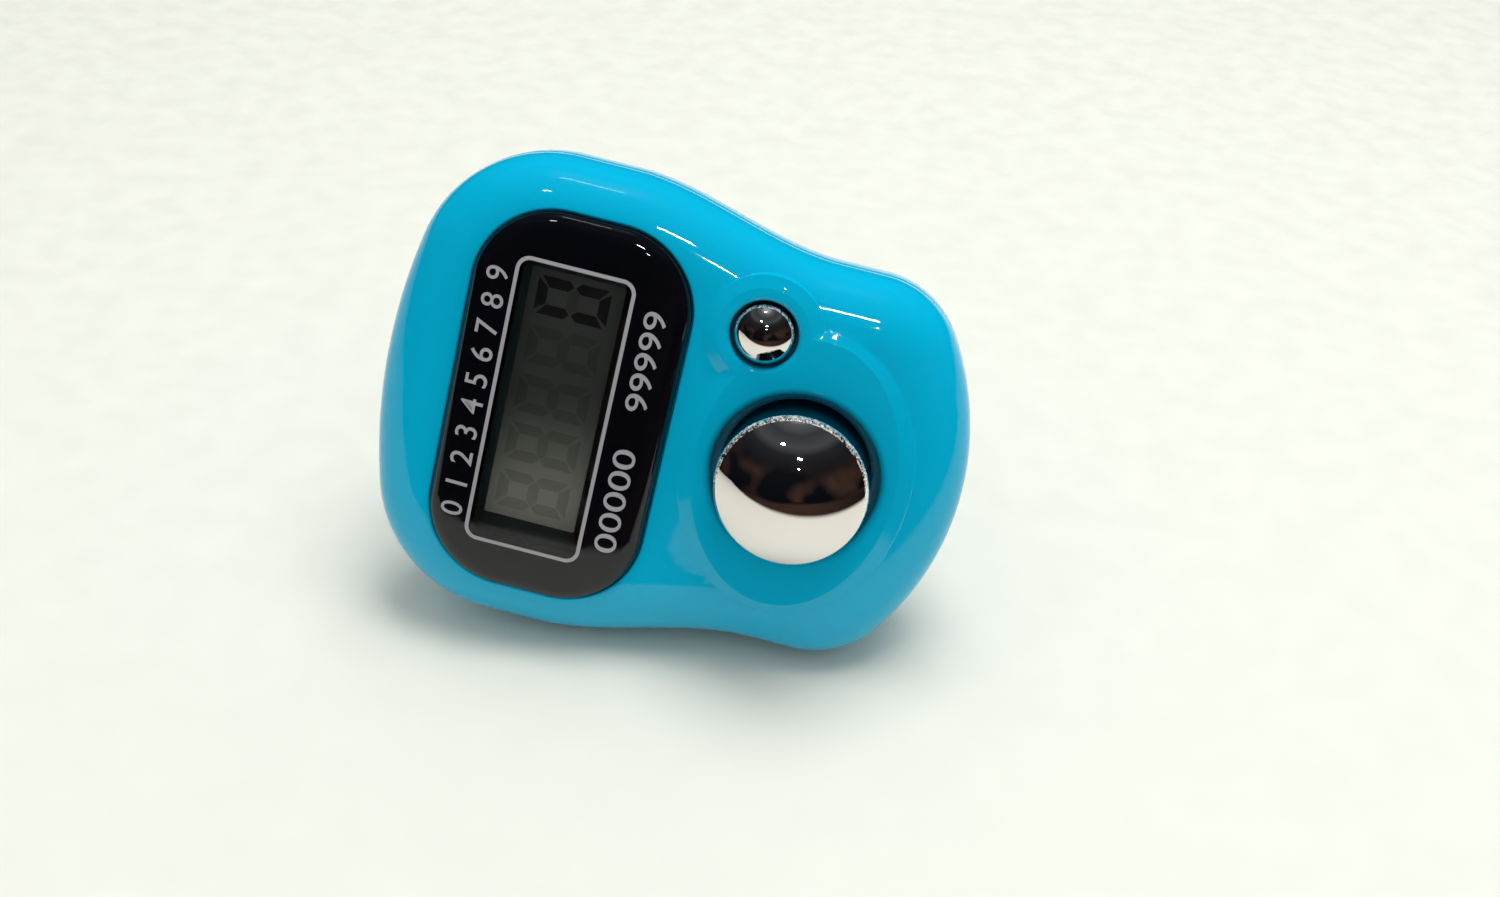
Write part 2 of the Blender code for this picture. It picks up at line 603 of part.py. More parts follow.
def cell_and_contacts():
    steel = material("nickel_plated_steel", (0.62, 0.61, 0.58), 0.28, metallic=1.0)
    edge = FIT
    profile = [
        (0.0, CELL_BOTTOM),
        (CELL_RADIUS - edge, CELL_BOTTOM),
        (CELL_RADIUS, CELL_BOTTOM + edge),
        (CELL_RADIUS, CELL_TOP - CELL_CAP_HEIGHT),
        (CELL_CAP_RADIUS, CELL_TOP - CELL_CAP_HEIGHT),
        (CELL_CAP_RADIUS, CELL_TOP),
        (0.0, CELL_TOP),
    ]
    turned("button_cell", profile, ROUND_STEPS, steel, (CELL_X, 0.0, 0.0))
    bronze = material("plated_spring_bronze", (0.70, 0.60, 0.40), 0.3, metallic=1.0)
    arch_drop = SPRING_ARCH - SPRING_SHEET
    top_line = []
    for i in range(DOME_STEPS + 1):
        t = i / DOME_STEPS
        drop = arch_drop * math.sin(math.pi * t)
        top_line.append((CELL_X + SPRING_LENGTH * (t - 0.5), SPRING_TOP - drop))
    bottom_line = [(x, z - SPRING_SHEET) for x, z in reversed(top_line)]
    rings = [[(x, side * SPRING_WIDTH / 2, z) for x, z in top_line + bottom_line] for side in (-1, 1)]
    loft("cell_spring", rings, bronze)
    clip_metal = material("plated_clip_bronze", (0.70, 0.60, 0.40), 0.32, metallic=1.0)
    wall_x = CELL_X - CELL_RADIUS - CLOSE_FIT
    top = BOARD_BOTTOM - CLOSE_FIT
    low = BACK_FLOOR + FIT
    outline = [
        (wall_x, low),
        (wall_x, top),
        (wall_x - CLIP_TONGUE, top),
        (wall_x - CLIP_TONGUE, top - CLIP_SHEET),
        (wall_x - CLIP_SHEET, top - CLIP_SHEET),
        (wall_x - CLIP_SHEET, low),
    ]
    rings = [[(x, side * CLIP_WIDTH / 2, z) for x, z in outline] for side in (-1, 1)]
    loft("cell_clip", rings, clip_metal)


def domed_button(name, centre, key, plunger_end, finish):
    """A plated button: dome, straight side, flange under the face, and a plunger inside."""
    radius = key["radius"]
    rounding = key["rounding"]
    plunger = key["plunger"]
    flange = key["hole"] + FLANGE_OVERLAP
    flange_bottom = FLANGE_TOP - FLANGE_THICKNESS
    shoulder = PAD_TOP + key["side_above"]
    sphere = (radius ** 2 + key["rise"] ** 2) / (2 * key["rise"])
    centre_z = shoulder + key["rise"] - sphere
    profile = [(0.0, shoulder + key["rise"])]
    for i in range(1, DOME_STEPS + 1):
        across = (radius - rounding) * i / DOME_STEPS
        profile.append((across, centre_z + math.sqrt(sphere ** 2 - across ** 2)))
    edge = profile[-1][1]
    middle = rounding * (1 - math.sqrt(0.5))
    profile.append((radius - middle, edge - middle))
    profile.append((radius, edge - rounding))
    profile += [(radius, FLANGE_TOP), (flange, FLANGE_TOP), (flange, flange_bottom)]
    inner = radius - BUTTON_SKIN
    if inner > plunger + BUTTON_SKIN:
        roof = shoulder - BUTTON_SKIN
        profile += [(inner, flange_bottom), (inner, roof), (plunger, roof)]
    else:
        profile.append((plunger, flange_bottom))
    profile += [(plunger, plunger_end), (0.0, plunger_end)]
    return turned(name, profile, ROUND_STEPS, finish, (*centre, 0.0))


def key_set(name, centre, key):
    """The rubber dome and its carbon pill on the board; gives the height of the plunger's end."""
    pill = key["plunger"] - CLOSE_FIT
    pill_low = BOARD_TOP + key["travel"] + PILL_STOP_GAP
    pill_high = pill_low + PILL_THICKNESS
    inner_top = pill_high + FIT
    top = inner_top + RUBBER_SKIN
    foot = BOARD_TOP + FIT
    crown = pill + RUBBER_SKIN
    rim = key["rubber"]
    profile = [
        (0.0, top),
        (crown, top),
        (rim, foot + RUBBER_FOOT),
        (rim, foot),
        (rim - RUBBER_SKIN, foot),
        (pill + CLOSE_FIT, inner_top),
        (0.0, inner_top),
    ]
    rubber = material(f"{name}_silicone", (0.55, 0.55, 0.53), 0.6)
    turned(f"{name}_rubber_dome", profile, SMALL_ROUND_STEPS, rubber, (*centre, 0.0))
    carbon = material(f"{name}_carbon", (0.02, 0.02, 0.02), 0.55)
    cylinder(f"{name}_contact_pill", pill, pill_low, pill_high, carbon, (*centre, 0.0))
    return top + FIT


def buttons():
    places = (("count", (COUNT_X, COUNT_Y), COUNT_KEY), ("reset", (RESET_X, RESET_Y), RESET_KEY))
    for name, centre, key in places:
        plunger_end = key_set(name, centre, key)
        chrome = material(f"{name}_chrome_plated_abs", (0.80, 0.80, 0.82), 0.04, metallic=1.0)
        domed_button(f"{name}_button", centre, key, plunger_end, chrome)


def case_screws():
    steel = material("zinc_plated_steel", (0.60, 0.60, 0.60), 0.3, metallic=1.0)
    under_head = SCREW_SEAT - FIT
    crown = under_head - SCREW_HEAD_HEIGHT
    tip = SCREW_REACH - FIT
    profile = [
        (0.0, crown),
        (SCREW_HEAD_RADIUS * 0.75, crown),
        (SCREW_HEAD_RADIUS, crown + SCREW_HEAD_HEIGHT * 0.4),
        (SCREW_HEAD_RADIUS, under_head),
        (SCREW_RADIUS, under_head),
        (SCREW_RADIUS, tip - 2 * SCREW_RADIUS),
        (SCREW_RADIUS * 0.4, tip),
        (0.0, tip),
    ]
    for i, place in enumerate(boss_places(), 1):
        screw = turned(f"case_screw_{i}", profile, SMALL_ROUND_STEPS, steel, place)
        middle = (place[0], place[1], crown + SCREW_CROSS_DEPTH / 2 - OVERCUT / 2)
        height = SCREW_CROSS_DEPTH + OVERCUT
        cut(screw, block(f"cross_tool_x_{i}", (SCREW_CROSS_LENGTH, SCREW_CROSS_WIDTH, height), middle))
        cut(screw, block(f"cross_tool_y_{i}", (SCREW_CROSS_WIDTH, SCREW_CROSS_LENGTH, height), middle))


def band_centreline():
    """The band's centreline in the Y, Z plane, with outward normals, from the pin to the tab."""
    root = KNUCKLE_Z - (KNUCKLE_RADIUS + PIN_RADIUS) / 2
    line = [((KNUCKLE_Y, root), (-1.0, 0.0))]
    line += arc((0.0, BAND_CENTRE_Z), BAND_LINE_RADIUS, math.pi, math.tau, BEND_STEPS)
    bend_centre = (BAND_LINE_RADIUS + TAB_BEND, TAB_Z - TAB_BEND)
    for point, normal in arc(bend_centre, TAB_BEND, math.pi, math.pi / 2, CORNER_STEPS):
        line.append((point, (-normal[0], -normal[1])))
    line.append(((TAB_END_Y, TAB_Z), (0.0, -1.0)))
    return line


def finger_band():
    finish = material("turquoise_soft_pvc", (0.0, 0.37, 0.56), 0.35)
    line = band_centreline()
    half = BAND_THICKNESS / 2
    side = BAND_WIDTH / 2
    chamfer = BAND_EDGE_CHAMFER
    rings = []
    edges = ((-side, half - chamfer), (chamfer - side, half), (side - chamfer, half), (side, half - chamfer))
    for x, reach in edges:
        outer = [(x, y + reach * ny - KNUCKLE_Y, z + reach * nz - KNUCKLE_Z) for (y, z), (ny, nz) in line]
        inner = [(x, y - reach * ny - KNUCKLE_Y, z - reach * nz - KNUCKLE_Z) for (y, z), (ny, nz) in line]
        rings.append(outer + list(reversed(inner)))
    hinge = (BAND_X, KNUCKLE_Y, KNUCKLE_Z)
    band = loft("finger_band", rings, finish, hinge)
    knuckle = cylinder("knuckle_tool", KNUCKLE_RADIUS, -BAND_WIDTH / 2, BAND_WIDTH / 2)
    turn_to_x(knuckle, hinge)
    join(band, knuckle)
    bore = cylinder("band_bore_tool", PIN_RADIUS + PIN_PLAY, -BAND_WIDTH, BAND_WIDTH)
    turn_to_x(bore, hinge)
    cut(band, bore)
    low = TAB_Z - BAND_THICKNESS
    high = TAB_Z + BAND_THICKNESS
    cut(band, cylinder("tab_hole_tool", STUD_RADIUS + FIT, low, high, at=(BAND_X, STUD_Y, 0.0)))


def band_fittings():
    steel = material("polished_steel_pin", (0.65, 0.65, 0.66), 0.2, metallic=1.0)
    half = BAND_WIDTH / 2 + FIT + EAR_THICKNESS + PIN_END
    pin = cylinder("band_pin", PIN_RADIUS, -half, half, steel)
    turn_to_x(pin, (BAND_X, KNUCKLE_Y, KNUCKLE_Z))
    knob = material("turquoise_stud_abs", (0.0, 0.37, 0.56), 0.2)
    foot = BACK_FACE + STUD_FOOT
    end = TAB_Z - BAND_THICKNESS / 2 - STUD_ABOVE_TAB
    round_off = STUD_RADIUS * 0.4
    profile = [
        (0.0, end),
        (STUD_RADIUS - round_off, end),
        (STUD_RADIUS, end + round_off),
        (STUD_RADIUS, foot),
        (0.0, foot),
    ]
    turned("band_stud", profile, SMALL_ROUND_STEPS, knob, (BAND_X, STUD_Y, 0.0))


def case_points(name, wanted):
    """The finished corners of one piece, in the case frame, that pass a test."""
    graph = bpy.context.evaluated_depsgraph_get()
    piece = bpy.data.objects[name].evaluated_get(graph)
    mesh = piece.to_mesh()
    points = [piece.matrix_world @ vertex.co for vertex in mesh.vertices]
    piece.to_mesh_clear()
    return [point for point in points if wanted(point)]


def stand_up():
    """Turn the case frame so that both lobes and the band touch the ground."""
    groups = [
        case_points("back_case", lambda p: p.x < LENS_X + LENS_LENGTH / 2 and p.y < 0),
        case_points("back_case", lambda p: p.x > RESET_X and p.y < 0),
        case_points("finger_band", lambda p: True),
    ]
    up = UP_AT_FIRST.normalized()
    for _ in range(STAND_TRIES):
        left, right, rear = (min(group, key=lambda p: p.dot(up)) for group in groups)
        up = (rear - left).cross(right - left).normalized()
        if up.y < 0:
            up = -up
    along = (right - left).normalized()
    turn = Matrix((along, up.cross(along), up))
    everything = []
    for piece in bpy.data.objects:
        if piece.type == "MESH" and not piece.hide_render:
            everything += [turn @ p for p in case_points(piece.name, lambda p: True)]
    low = [min(p[i] for p in everything) for i in range(3)]
    high = [max(p[i] for p in everything) for i in range(3)]
    shift = Vector((-(low[0] + high[0]) / 2, -(low[1] + high[1]) / 2, -low[2]))
    case_frame.matrix_world = Matrix.Translation(shift) @ turn.to_4x4()


clear_scene()
case_frame = bpy.data.objects.new("case_frame", None)
bpy.context.collection.objects.link(case_frame)
front_case()
back_case()
display_lens()
display_panel()
circuit_board()
cell_and_contacts()
buttons()
case_screws()
finger_band()
band_fittings()
stand_up()
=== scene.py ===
"""Looks of a turquoise finger tally counter: gloss ABS case, plated domes, black lens and display.

Each piece is drawn in millimetres in the case frame: X along the body towards the buttons, Y across
it towards the reset button, Z out of the face, with the seam between the half shells at Z = 0.
"""
import json
import math

import bmesh
import bpy
import numpy as np
from mathutils import Matrix, Vector
from mathutils.geometry import delaunay_2d_cdt


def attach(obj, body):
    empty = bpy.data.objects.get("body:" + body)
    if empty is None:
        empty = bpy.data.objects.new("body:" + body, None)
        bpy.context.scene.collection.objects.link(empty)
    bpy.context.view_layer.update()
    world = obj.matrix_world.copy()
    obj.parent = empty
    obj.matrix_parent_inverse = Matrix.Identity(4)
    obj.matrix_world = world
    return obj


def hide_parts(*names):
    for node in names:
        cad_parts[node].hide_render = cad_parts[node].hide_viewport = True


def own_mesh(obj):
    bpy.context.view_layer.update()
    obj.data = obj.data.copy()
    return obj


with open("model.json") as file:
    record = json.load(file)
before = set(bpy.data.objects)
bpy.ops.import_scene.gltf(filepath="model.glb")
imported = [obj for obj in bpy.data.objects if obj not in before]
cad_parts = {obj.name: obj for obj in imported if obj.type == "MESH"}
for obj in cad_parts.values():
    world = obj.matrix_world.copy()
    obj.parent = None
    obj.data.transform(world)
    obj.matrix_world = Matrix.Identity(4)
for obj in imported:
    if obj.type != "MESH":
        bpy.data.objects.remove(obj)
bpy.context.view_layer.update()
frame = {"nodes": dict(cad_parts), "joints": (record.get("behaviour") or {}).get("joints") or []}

MM = 0.001

# The body, as in the CAD source
BODY_HALF_LENGTH = 20.0
DISPLAY_HALF_WIDTH = 16.15
BUTTON_HALF_WIDTH = 13.4
DISPLAY_END_RADIUS = 39.5
BUTTON_END_RADIUS = 19.2
DISPLAY_CORNER_RADIUS = 9.3
BUTTON_CORNER_RADIUS = 6.4
DISPLAY_SIDE_FLAT = 3.8
BUTTON_SIDE_FLAT = 3.1
FRONT_HEIGHT = 3.7
FRONT_SHOULDER = 4.4
BACK_FACE = -6.7
BACK_SHOULDER = 4.6
SHOULDER_POWER = 2.3
WALL = 1.2
UNDERSIDE = 2.5
SEAM_HALF_GAP = 0.04
SEAM_ROUNDING = 0.08
SEAM_EDGE = SEAM_HALF_GAP + SEAM_ROUNDING
# Rings round the shoulder, by their distance in from the edge
SHOULDER_INSETS = (0.0, 0.004, 0.02, 0.05, 0.1, 0.17, 0.27, 0.4, 0.56, 0.75, 0.97, 1.2)
BACK_INSETS = (1.5, 1.85, 2.2)
# Steps round the count hole, the reset hole and smaller rounds
COUNT_STEPS = 144
RESET_STEPS = 96
SMALL_STEPS = 48
# Faces that meet at less than this many degrees are shaded as one
SMOOTH_ANGLE = 40.0
STRAP_SMOOTH = 50.0
# How far inside a hole's wall a triangle still counts as outside it
EDGE_MARGIN = 0.01

# Lens and display
LENS_LENGTH = 14.8
LENS_WIDTH = 26.2
# Rounded rectangles: centre, length, width and corner radius
POCKET = ((-7.4, 0.0), LENS_LENGTH, LENS_WIDTH, 5.6)
FRAME = ((-7.88, -0.05), 7.98, 19.88, 0.95)
WINDOW = ((-7.9, 0.0), 8.4, 20.2, 1.0)
LENS_TOP = 4.3
LENS_BOTTOM = 3.3
LENS_GAP = 0.12
LENS_EDGE = 1.05
LENS_DROP = 0.5
LENS_CROWN = 0.26
LENS_ARCH = 0.24
POCKET_FLOOR = 3.0
POCKET_ROUNDING = 0.15
FRAME_LINE = 0.26
GLASS_TOP = 1.8
GLASS_LENGTH = 10.4
GLASS_WIDTH = 22.0
GLASS_THICKNESS = 0.55
SHEET_CENTRE = (-8.07, -0.1)
SHEET_SIZE = (6.4, 17.6)
DIGIT_X = -8.2
DIGIT_HEIGHT = 4.95
DIGIT_WIDTH = 2.62
DIGIT_PITCH = 3.45
DIGIT_BAR = 0.72
DIGIT_GAP = 0.06
DIGIT_CUT = 0.16
UNITS_Y = 6.92
SHADE_STRIP_WIDTH = 0.45
INK_LIFT = 0.012
INK_DEPTH = 0.05
NUMERAL_HEIGHT = 1.5
FONT_TO_NUMERAL = 1.42
INK_SPREAD = 0.004
LEFT_PRINT_X = -12.95
LEFT_PRINT_Y = (-8.2, 8.25)
RIGHT_PRINT_X = -2.33
LOWER_PRINT_Y = (-8.6, -1.2)
UPPER_PRINT_Y = (1.5, 8.3)

# Buttons
PAD_TOP = 3.95
PAD_CENTRE = (8.8, -0.3)
PAD_OUTER = (7.7, 9.9)
PAD_INNER = (6.7, 9.3)
PAD_EDGE = 3.72
COUNT_CENTRE = (8.8, -0.5)
COUNT_HOLE = 5.65
COUNT_RIM = 0.5
COUNT_RADIUS = 5.05
COUNT_SHOULDER = 6.8
COUNT_RISE = 1.9
COUNT_ROUNDING = 0.24
RESET_CENTRE = (4.65, 8.4)
RESET_HOLE = 2.26
RESET_RIM = 0.35
RESET_RADIUS = 1.96
RESET_SHOULDER = 3.75
RESET_RISE = 0.95
RESET_ROUNDING = 0.13
BOSS_OUTER = 3.95
BOSS_INNER = 3.1
FLANGE_TOP = 2.2
FLANGE_THICKNESS = 0.8
FLANGE_OVERLAP = 0.65
BUTTON_SKIN = 0.8
BOARD_TOP = -0.55
RUBBER_SKIN = 0.5
PILL_THICKNESS = 0.3
PILL_STOP_GAP = 0.1
DOME_STEPS = 24
ROLL_STEPS = 10
# Each button's travel, plunger radius, rubber dome radius, and the share of its height the dome keeps
COUNT_SPRING = (0.9, 1.6, 3.2, 0.65)
RESET_SPRING = (0.5, 1.1, 2.1, 0.78)
CREASE = 0.06

# Behind the case
SCREW_PLACES = ((-15.0, -8.0), (-15.0, 8.0), (13.0, -8.2), (13.0, 8.2))
SCREW_RECESS = 1.6
RECESS_ROUNDING = 0.2
SCREW_SEAT = -4.9
SCREW_TIP = 1.6
SCREW_RADIUS = 0.65
SCREW_HEAD_RADIUS = 1.3
SCREW_HEAD_HEIGHT = 0.7
THREAD_PITCH = 0.55
CROSS_LENGTH = 1.5
CROSS_WIDTH = 0.35
CROSS_DEPTH = 0.35
BAND_X = -1.5
BAND_WIDTH = 9.0
BAND_THICKNESS = 1.4
BAND_LINE_RADIUS = 9.5
BAND_CENTRE_Z = -15.1
KNUCKLE_Y = -9.5
KNUCKLE_Z = -8.6
KNUCKLE_RADIUS = 1.5
TAB_Z = -7.7
TAB_BEND = 0.95
TAB_END_Y = 12.9
STUD_Y = 11.4
STUD_RADIUS = 0.8
PIN_RADIUS = 0.6
PIN_PLAY = 0.1
EAR_THICKNESS = 1.3
EAR_RADIUS = 1.6
EAR_FLARE = 0.6
EAR_WAIST = 0.4
STRAP_ROLL = 0.3
FIT = 0.3
CLOSE_FIT = 0.2
STRIPE_TURN = (0.0, 0.0, 0.15)

# The camera, measured in the case frame, and the room that reflections show, in metres
CAMERA_PLACE = (8.9121, 36.599, 119.0963)
CAMERA_FORWARD = (-0.028045, -0.296844, -0.954514)
CAMERA_RIGHT = (0.968733, 0.227418, -0.099187)
CAMERA_UP = (-0.246516, 0.927451, -0.281185)
FLOOR_HALF = 12.0
SKY_STRENGTH = 0.67
SOFTBOX_SIZE = (0.30, 0.20)
SOFTBOX_PLACE = (0.06, 0.04, 0.42)
SOFTBOX_WATTS = 1.42
ROOM_RADIUS = 0.75
LAMP_DISTANCE = 0.7
TABLE_END = -0.072
TABLE_SLANT = 0.44


def case_to_row():
    """Where the case frame lies in the row frame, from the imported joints."""
    joints = {joint["name"]: joint for joint in frame["joints"]}
    out = -Vector(joints["count_press"]["axis"]).normalized()
    along = -Vector(joints["band_open"]["axis"]).normalized()
    across = out.cross(along)
    turn = Matrix((along, across, out)).transposed()
    pin = Vector((BAND_X, KNUCKLE_Y, KNUCKLE_Z)) * MM
    place = Vector(joints["band_open"]["pos_m"]) - turn @ pin
    return Matrix.Translation(place) @ turn.to_4x4() @ Matrix.Scale(MM, 4)


CASE = case_to_row()


class Skin:
    """Corners and faces of one piece, in the case frame."""

    def __init__(self):
        self.corners = []
        self.faces = []
        self.finishes = []

    def ring(self, points):
        first = len(self.corners)
        self.corners += [tuple(float(c) for c in point) for point in points]
        return list(range(first, len(self.corners)))

    def face(self, corners, finish=0):
        self.faces.append(tuple(corners))
        self.finishes.append(finish)

    def bridge(self, low, high, finish=0):
        for i in range(len(low)):
            self.face((low[i - 1], low[i], high[i], high[i - 1]), finish)

    def tube(self, rings):
        made = [self.ring(ring) for ring in rings]
        for low, high in zip(made, made[1:]):
            self.bridge(low, high)
        return made

    def solid(self, rings):
        """A tube closed at both ends."""
        made = self.tube(rings)
        self.face(made[0])
        self.face(made[-1])

    def sheet(self, plan, heights, triangles, finish=0):
        first = len(self.corners)
        self.corners += [(float(x), float(y), float(z)) for (x, y), z in zip(plan, heights)]
        for triangle in triangles:
            self.face([first + i for i in triangle], finish)


def to_row(made):
    """Move a finished piece from the case frame to the row frame."""
    made.data.transform(CASE)
    return made


def piece(name, skin, finishes, smooth=SMOOTH_ANGLE):
    """A mesh object in the row frame from a skin in the case frame."""
    return to_row(loose_piece(name, skin, finishes, smooth))


def loose_piece(name, skin, finishes, smooth=SMOOTH_ANGLE):
    """A mesh object still in the case frame's millimetres."""
    maker = bmesh.new()
    corners = [maker.verts.new(corner) for corner in skin.corners]
    for face, finish in zip(skin.faces, skin.finishes):
        if len(set(face)) > 2:
            made = maker.faces.new([corners[i] for i in face])
            made.material_index = finish
    bmesh.ops.remove_doubles(maker, verts=maker.verts, dist=0.003)
    bmesh.ops.recalc_face_normals(maker, faces=maker.faces)
    mesh = bpy.data.meshes.new(name)
    maker.to_mesh(mesh)
    maker.free()
    mesh.shade_smooth()
    mesh.set_sharp_from_angle(angle=math.radians(smooth))
    for finish in finishes:
        mesh.materials.append(finish)
    return show(name, mesh)


def show(name, data):
    made = bpy.data.objects.new(name, data)
    bpy.context.collection.objects.link(made)
    return made


def settle(source, finishes, smooth):
    """Replace a piece by the plain mesh that its modifiers make."""
    bpy.context.view_layer.update()
    graph = bpy.context.evaluated_depsgraph_get()
    mesh = bpy.data.meshes.new_from_object(source.evaluated_get(graph))
    name = source.name
    bpy.data.objects.remove(source, do_unlink=True)
    mesh.materials.clear()
    for finish in finishes:
        mesh.materials.append(finish)
    mesh.shade_smooth()
    mesh.set_sharp_from_angle(angle=math.radians(smooth))
    return show(name, mesh)


def carve(made, cutters, finishes, smooth, joined=()):
    """Join other loose pieces to one, then cut holes through it."""
    for other in (*joined, *cutters):
        step = made.modifiers.new("step", "BOOLEAN")
        step.solver = "EXACT"
        step.operation = "UNION" if other in joined else "DIFFERENCE"
        step.object = other
    made = settle(made, finishes, smooth)
    for other in (*joined, *cutters):
        bpy.data.objects.remove(other, do_unlink=True)
    return made


def rod(centre, radius, low, high, along="z"):
    """A plain round cutter along one axis of the case frame."""
    skin = Skin()
    across = circle((0.0, 0.0), radius, 40)
    placed = at_height if along == "z" else at_length
    skin.solid([placed(across + np.array(centre), end) for end in (low, high)])
    return loose_piece("cutter", skin, [])


def repeated(name, unit, places, finish, turn=0.0, seed=0, smooth=30.0):
    """Geometry Nodes set the unit at each place, each turned by chance, and the result is made plain."""
    tree = bpy.data.node_groups.new(name, "GeometryNodeTree")
    ids = {}
    for label, kind in (("Places", "Geometry"), ("Unit", "Object"), ("Finish", "Material"),
                        ("Largest Turn", "Float"), ("Seed", "Int")):
        ids[label] = tree.interface.new_socket(label, socket_type="NodeSocket" + kind).identifier
    tree.interface.new_socket("Result", in_out="OUTPUT", socket_type="NodeSocketGeometry")
    given = node(tree, "NodeGroupInput").outputs
    other_way = node(tree, "ShaderNodeMath", {"operation": "MULTIPLY"}, i0=given["Largest Turn"], i1=-1.0)
    chance = node(tree, "FunctionNodeRandomValue", {"data_type": "FLOAT"}, i2=other_way,
                  i3=given["Largest Turn"], i8=given["Seed"])
    turned = node(tree, "ShaderNodeCombineXYZ", Z=chance.outputs[1])
    shape = node(tree, "GeometryNodeObjectInfo", {"transform_space": "ORIGINAL"}, Object=given["Unit"])
    copies = node(tree, "GeometryNodeInstanceOnPoints", Points=given["Places"],
                  Instance=shape.outputs["Geometry"], Rotation=turned)
    real = node(tree, "GeometryNodeRealizeInstances", Geometry=copies)
    painted = node(tree, "GeometryNodeSetMaterial", Geometry=real, Material=given["Finish"])
    node(tree, "NodeGroupOutput", Result=painted)
    points = bpy.data.meshes.new(name)
    points.from_pydata([tuple(place) for place in places], [], [])
    holder = show(name, points)
    nodes = holder.modifiers.new("repeat", "NODES")
    nodes.node_group = tree
    for label, value in (("Unit", unit), ("Finish", finish), ("Largest Turn", turn), ("Seed", seed)):
        nodes[ids[label]] = value
    made = settle(holder, [finish], smooth)
    bpy.data.objects.remove(unit, do_unlink=True)
    return to_row(made)


def plan_mesh(rings, keep):
    """Triangles of a flat plan with every ring kept as edges, where keep says so."""
    points = []
    edges = []
    for ring in rings:
        first = len(points)
        count = len(ring)
        points += [Vector((float(x), float(y))) for x, y in ring]
        edges += [(first + i, first + (i + 1) % count) for i in range(count)]
    made = delaunay_2d_cdt(points, edges, [], 0, 1e-5)
    plan = np.array([tuple(point) for point in made[0]])
    triangles = np.array([tuple(face) for face in made[2]])
    middles = plan[triangles].mean(axis=1)
    return plan, triangles[keep(middles)]


def arc(centre, radius, start, end, steps):
    angles = np.linspace(start, end, steps + 1)
    normals = np.stack([np.cos(angles), np.sin(angles)], axis=1)
    return np.array(centre) + radius * normals, normals


def circle(centre, radius, steps):
    return arc(centre, radius, 0.0, math.tau, steps)[0][:-1]


def ellipse(centre, half_sizes, steps, grow=0.0):
    angles = np.linspace(0.0, math.tau, steps + 1)[:-1]
    reach = np.array(half_sizes) + grow
    return np.array(centre) + reach * np.stack([np.cos(angles), np.sin(angles)], axis=1)


def grown(rectangle, grow):
    centre, length, width, corner = rectangle
    return centre, length + 2 * grow, width + 2 * grow, corner + grow


def rounded_rectangle(centre, length, width, corner, steps=12):
    points = []
    for quarter in range(4):
        start = quarter * math.pi / 2
        side = np.array((1 if quarter in (0, 3) else -1, 1 if quarter in (0, 1) else -1))
        middle = np.array(centre) + side * (np.array((length, width)) / 2 - corner)
        points.append(arc(middle, corner, start, start + math.pi / 2, steps)[0])
    return np.concatenate(points)


def upper_edge():
    """Half of the body's outline with its normals, from the display end to the button end."""
    reach = DISPLAY_END_RADIUS - DISPLAY_CORNER_RADIUS
    rise = DISPLAY_HALF_WIDTH - DISPLAY_CORNER_RADIUS
    end_a = (DISPLAY_END_RADIUS - BODY_HALF_LENGTH, 0.0)
    corner_a = (end_a[0] - math.sqrt(reach ** 2 - rise ** 2), rise)
    turn_a = math.pi - math.asin(rise / reach)
    reach = BUTTON_END_RADIUS - BUTTON_CORNER_RADIUS
    rise = BUTTON_HALF_WIDTH - BUTTON_CORNER_RADIUS
    end_b = (BODY_HALF_LENGTH - BUTTON_END_RADIUS, 0.0)
    corner_b = (end_b[0] + math.sqrt(reach ** 2 - rise ** 2), rise)
    turn_b = math.asin(rise / reach)
    start = corner_a[0] + DISPLAY_SIDE_FLAT
    span = corner_b[0] - BUTTON_SIDE_FLAT - start
    drop = DISPLAY_HALF_WIDTH - BUTTON_HALF_WIDTH
    t = np.linspace(0.0, 1.0, 45)
    waist = np.stack([start + span * t, DISPLAY_HALF_WIDTH - drop * (3 * t ** 2 - 2 * t ** 3)], axis=1)
    slope = -drop * 6 * t * (1 - t) / span
    waist_normals = np.stack([-slope, np.ones_like(t)], axis=1) / np.hypot(1.0, slope)[:, None]
    parts = [
        arc(end_a, DISPLAY_END_RADIUS, math.pi, turn_a, 18),
        arc(corner_a, DISPLAY_CORNER_RADIUS, turn_a, math.pi / 2, 30),
        (waist, waist_normals),
        arc(corner_b, BUTTON_CORNER_RADIUS, math.pi / 2, turn_b, 30),
        arc(end_b, BUTTON_END_RADIUS, turn_b, 0.0, 18),
    ]
    points = np.concatenate([part[0] if i in (0, 2, 3) else part[0][1:] for i, part in enumerate(parts)])
    normals = np.concatenate([part[1] if i in (0, 2, 3) else part[1][1:] for i, part in enumerate(parts)])
    return points, normals


EDGE_POINTS, EDGE_NORMALS = upper_edge()


def outline(inset):
    upper = EDGE_POINTS - inset * EDGE_NORMALS
    lower = upper[1:-1][::-1] * np.array((1.0, -1.0))
    return np.concatenate([upper, lower])


def edge_distance(points):
    """How far inside the outline each point lies."""
    start = outline(0.0)
    run = np.roll(start, -1, axis=0) - start
    length = (run ** 2).sum(axis=1)
    best = np.full(len(points), np.inf)
    for first in range(0, len(points), 2000):
        some = points[first:first + 2000, None, :]
        t = np.clip(((some - start) * run).sum(axis=2) / length, 0.0, 1.0)
        gap = np.linalg.norm(some - start - t[..., None] * run, axis=2)
        best[first:first + 2000] = gap.min(axis=1)
    return best


def shoulder_height(inset, shoulder, base, top):
    """Height of a shell over its rounded shoulder, by the distance in from its edge."""
    x = np.clip(1.0 - inset / shoulder, 0.0, 1.0)
    return base + (top - base) * (1.0 - x ** SHOULDER_POWER) ** (1.0 / SHOULDER_POWER)


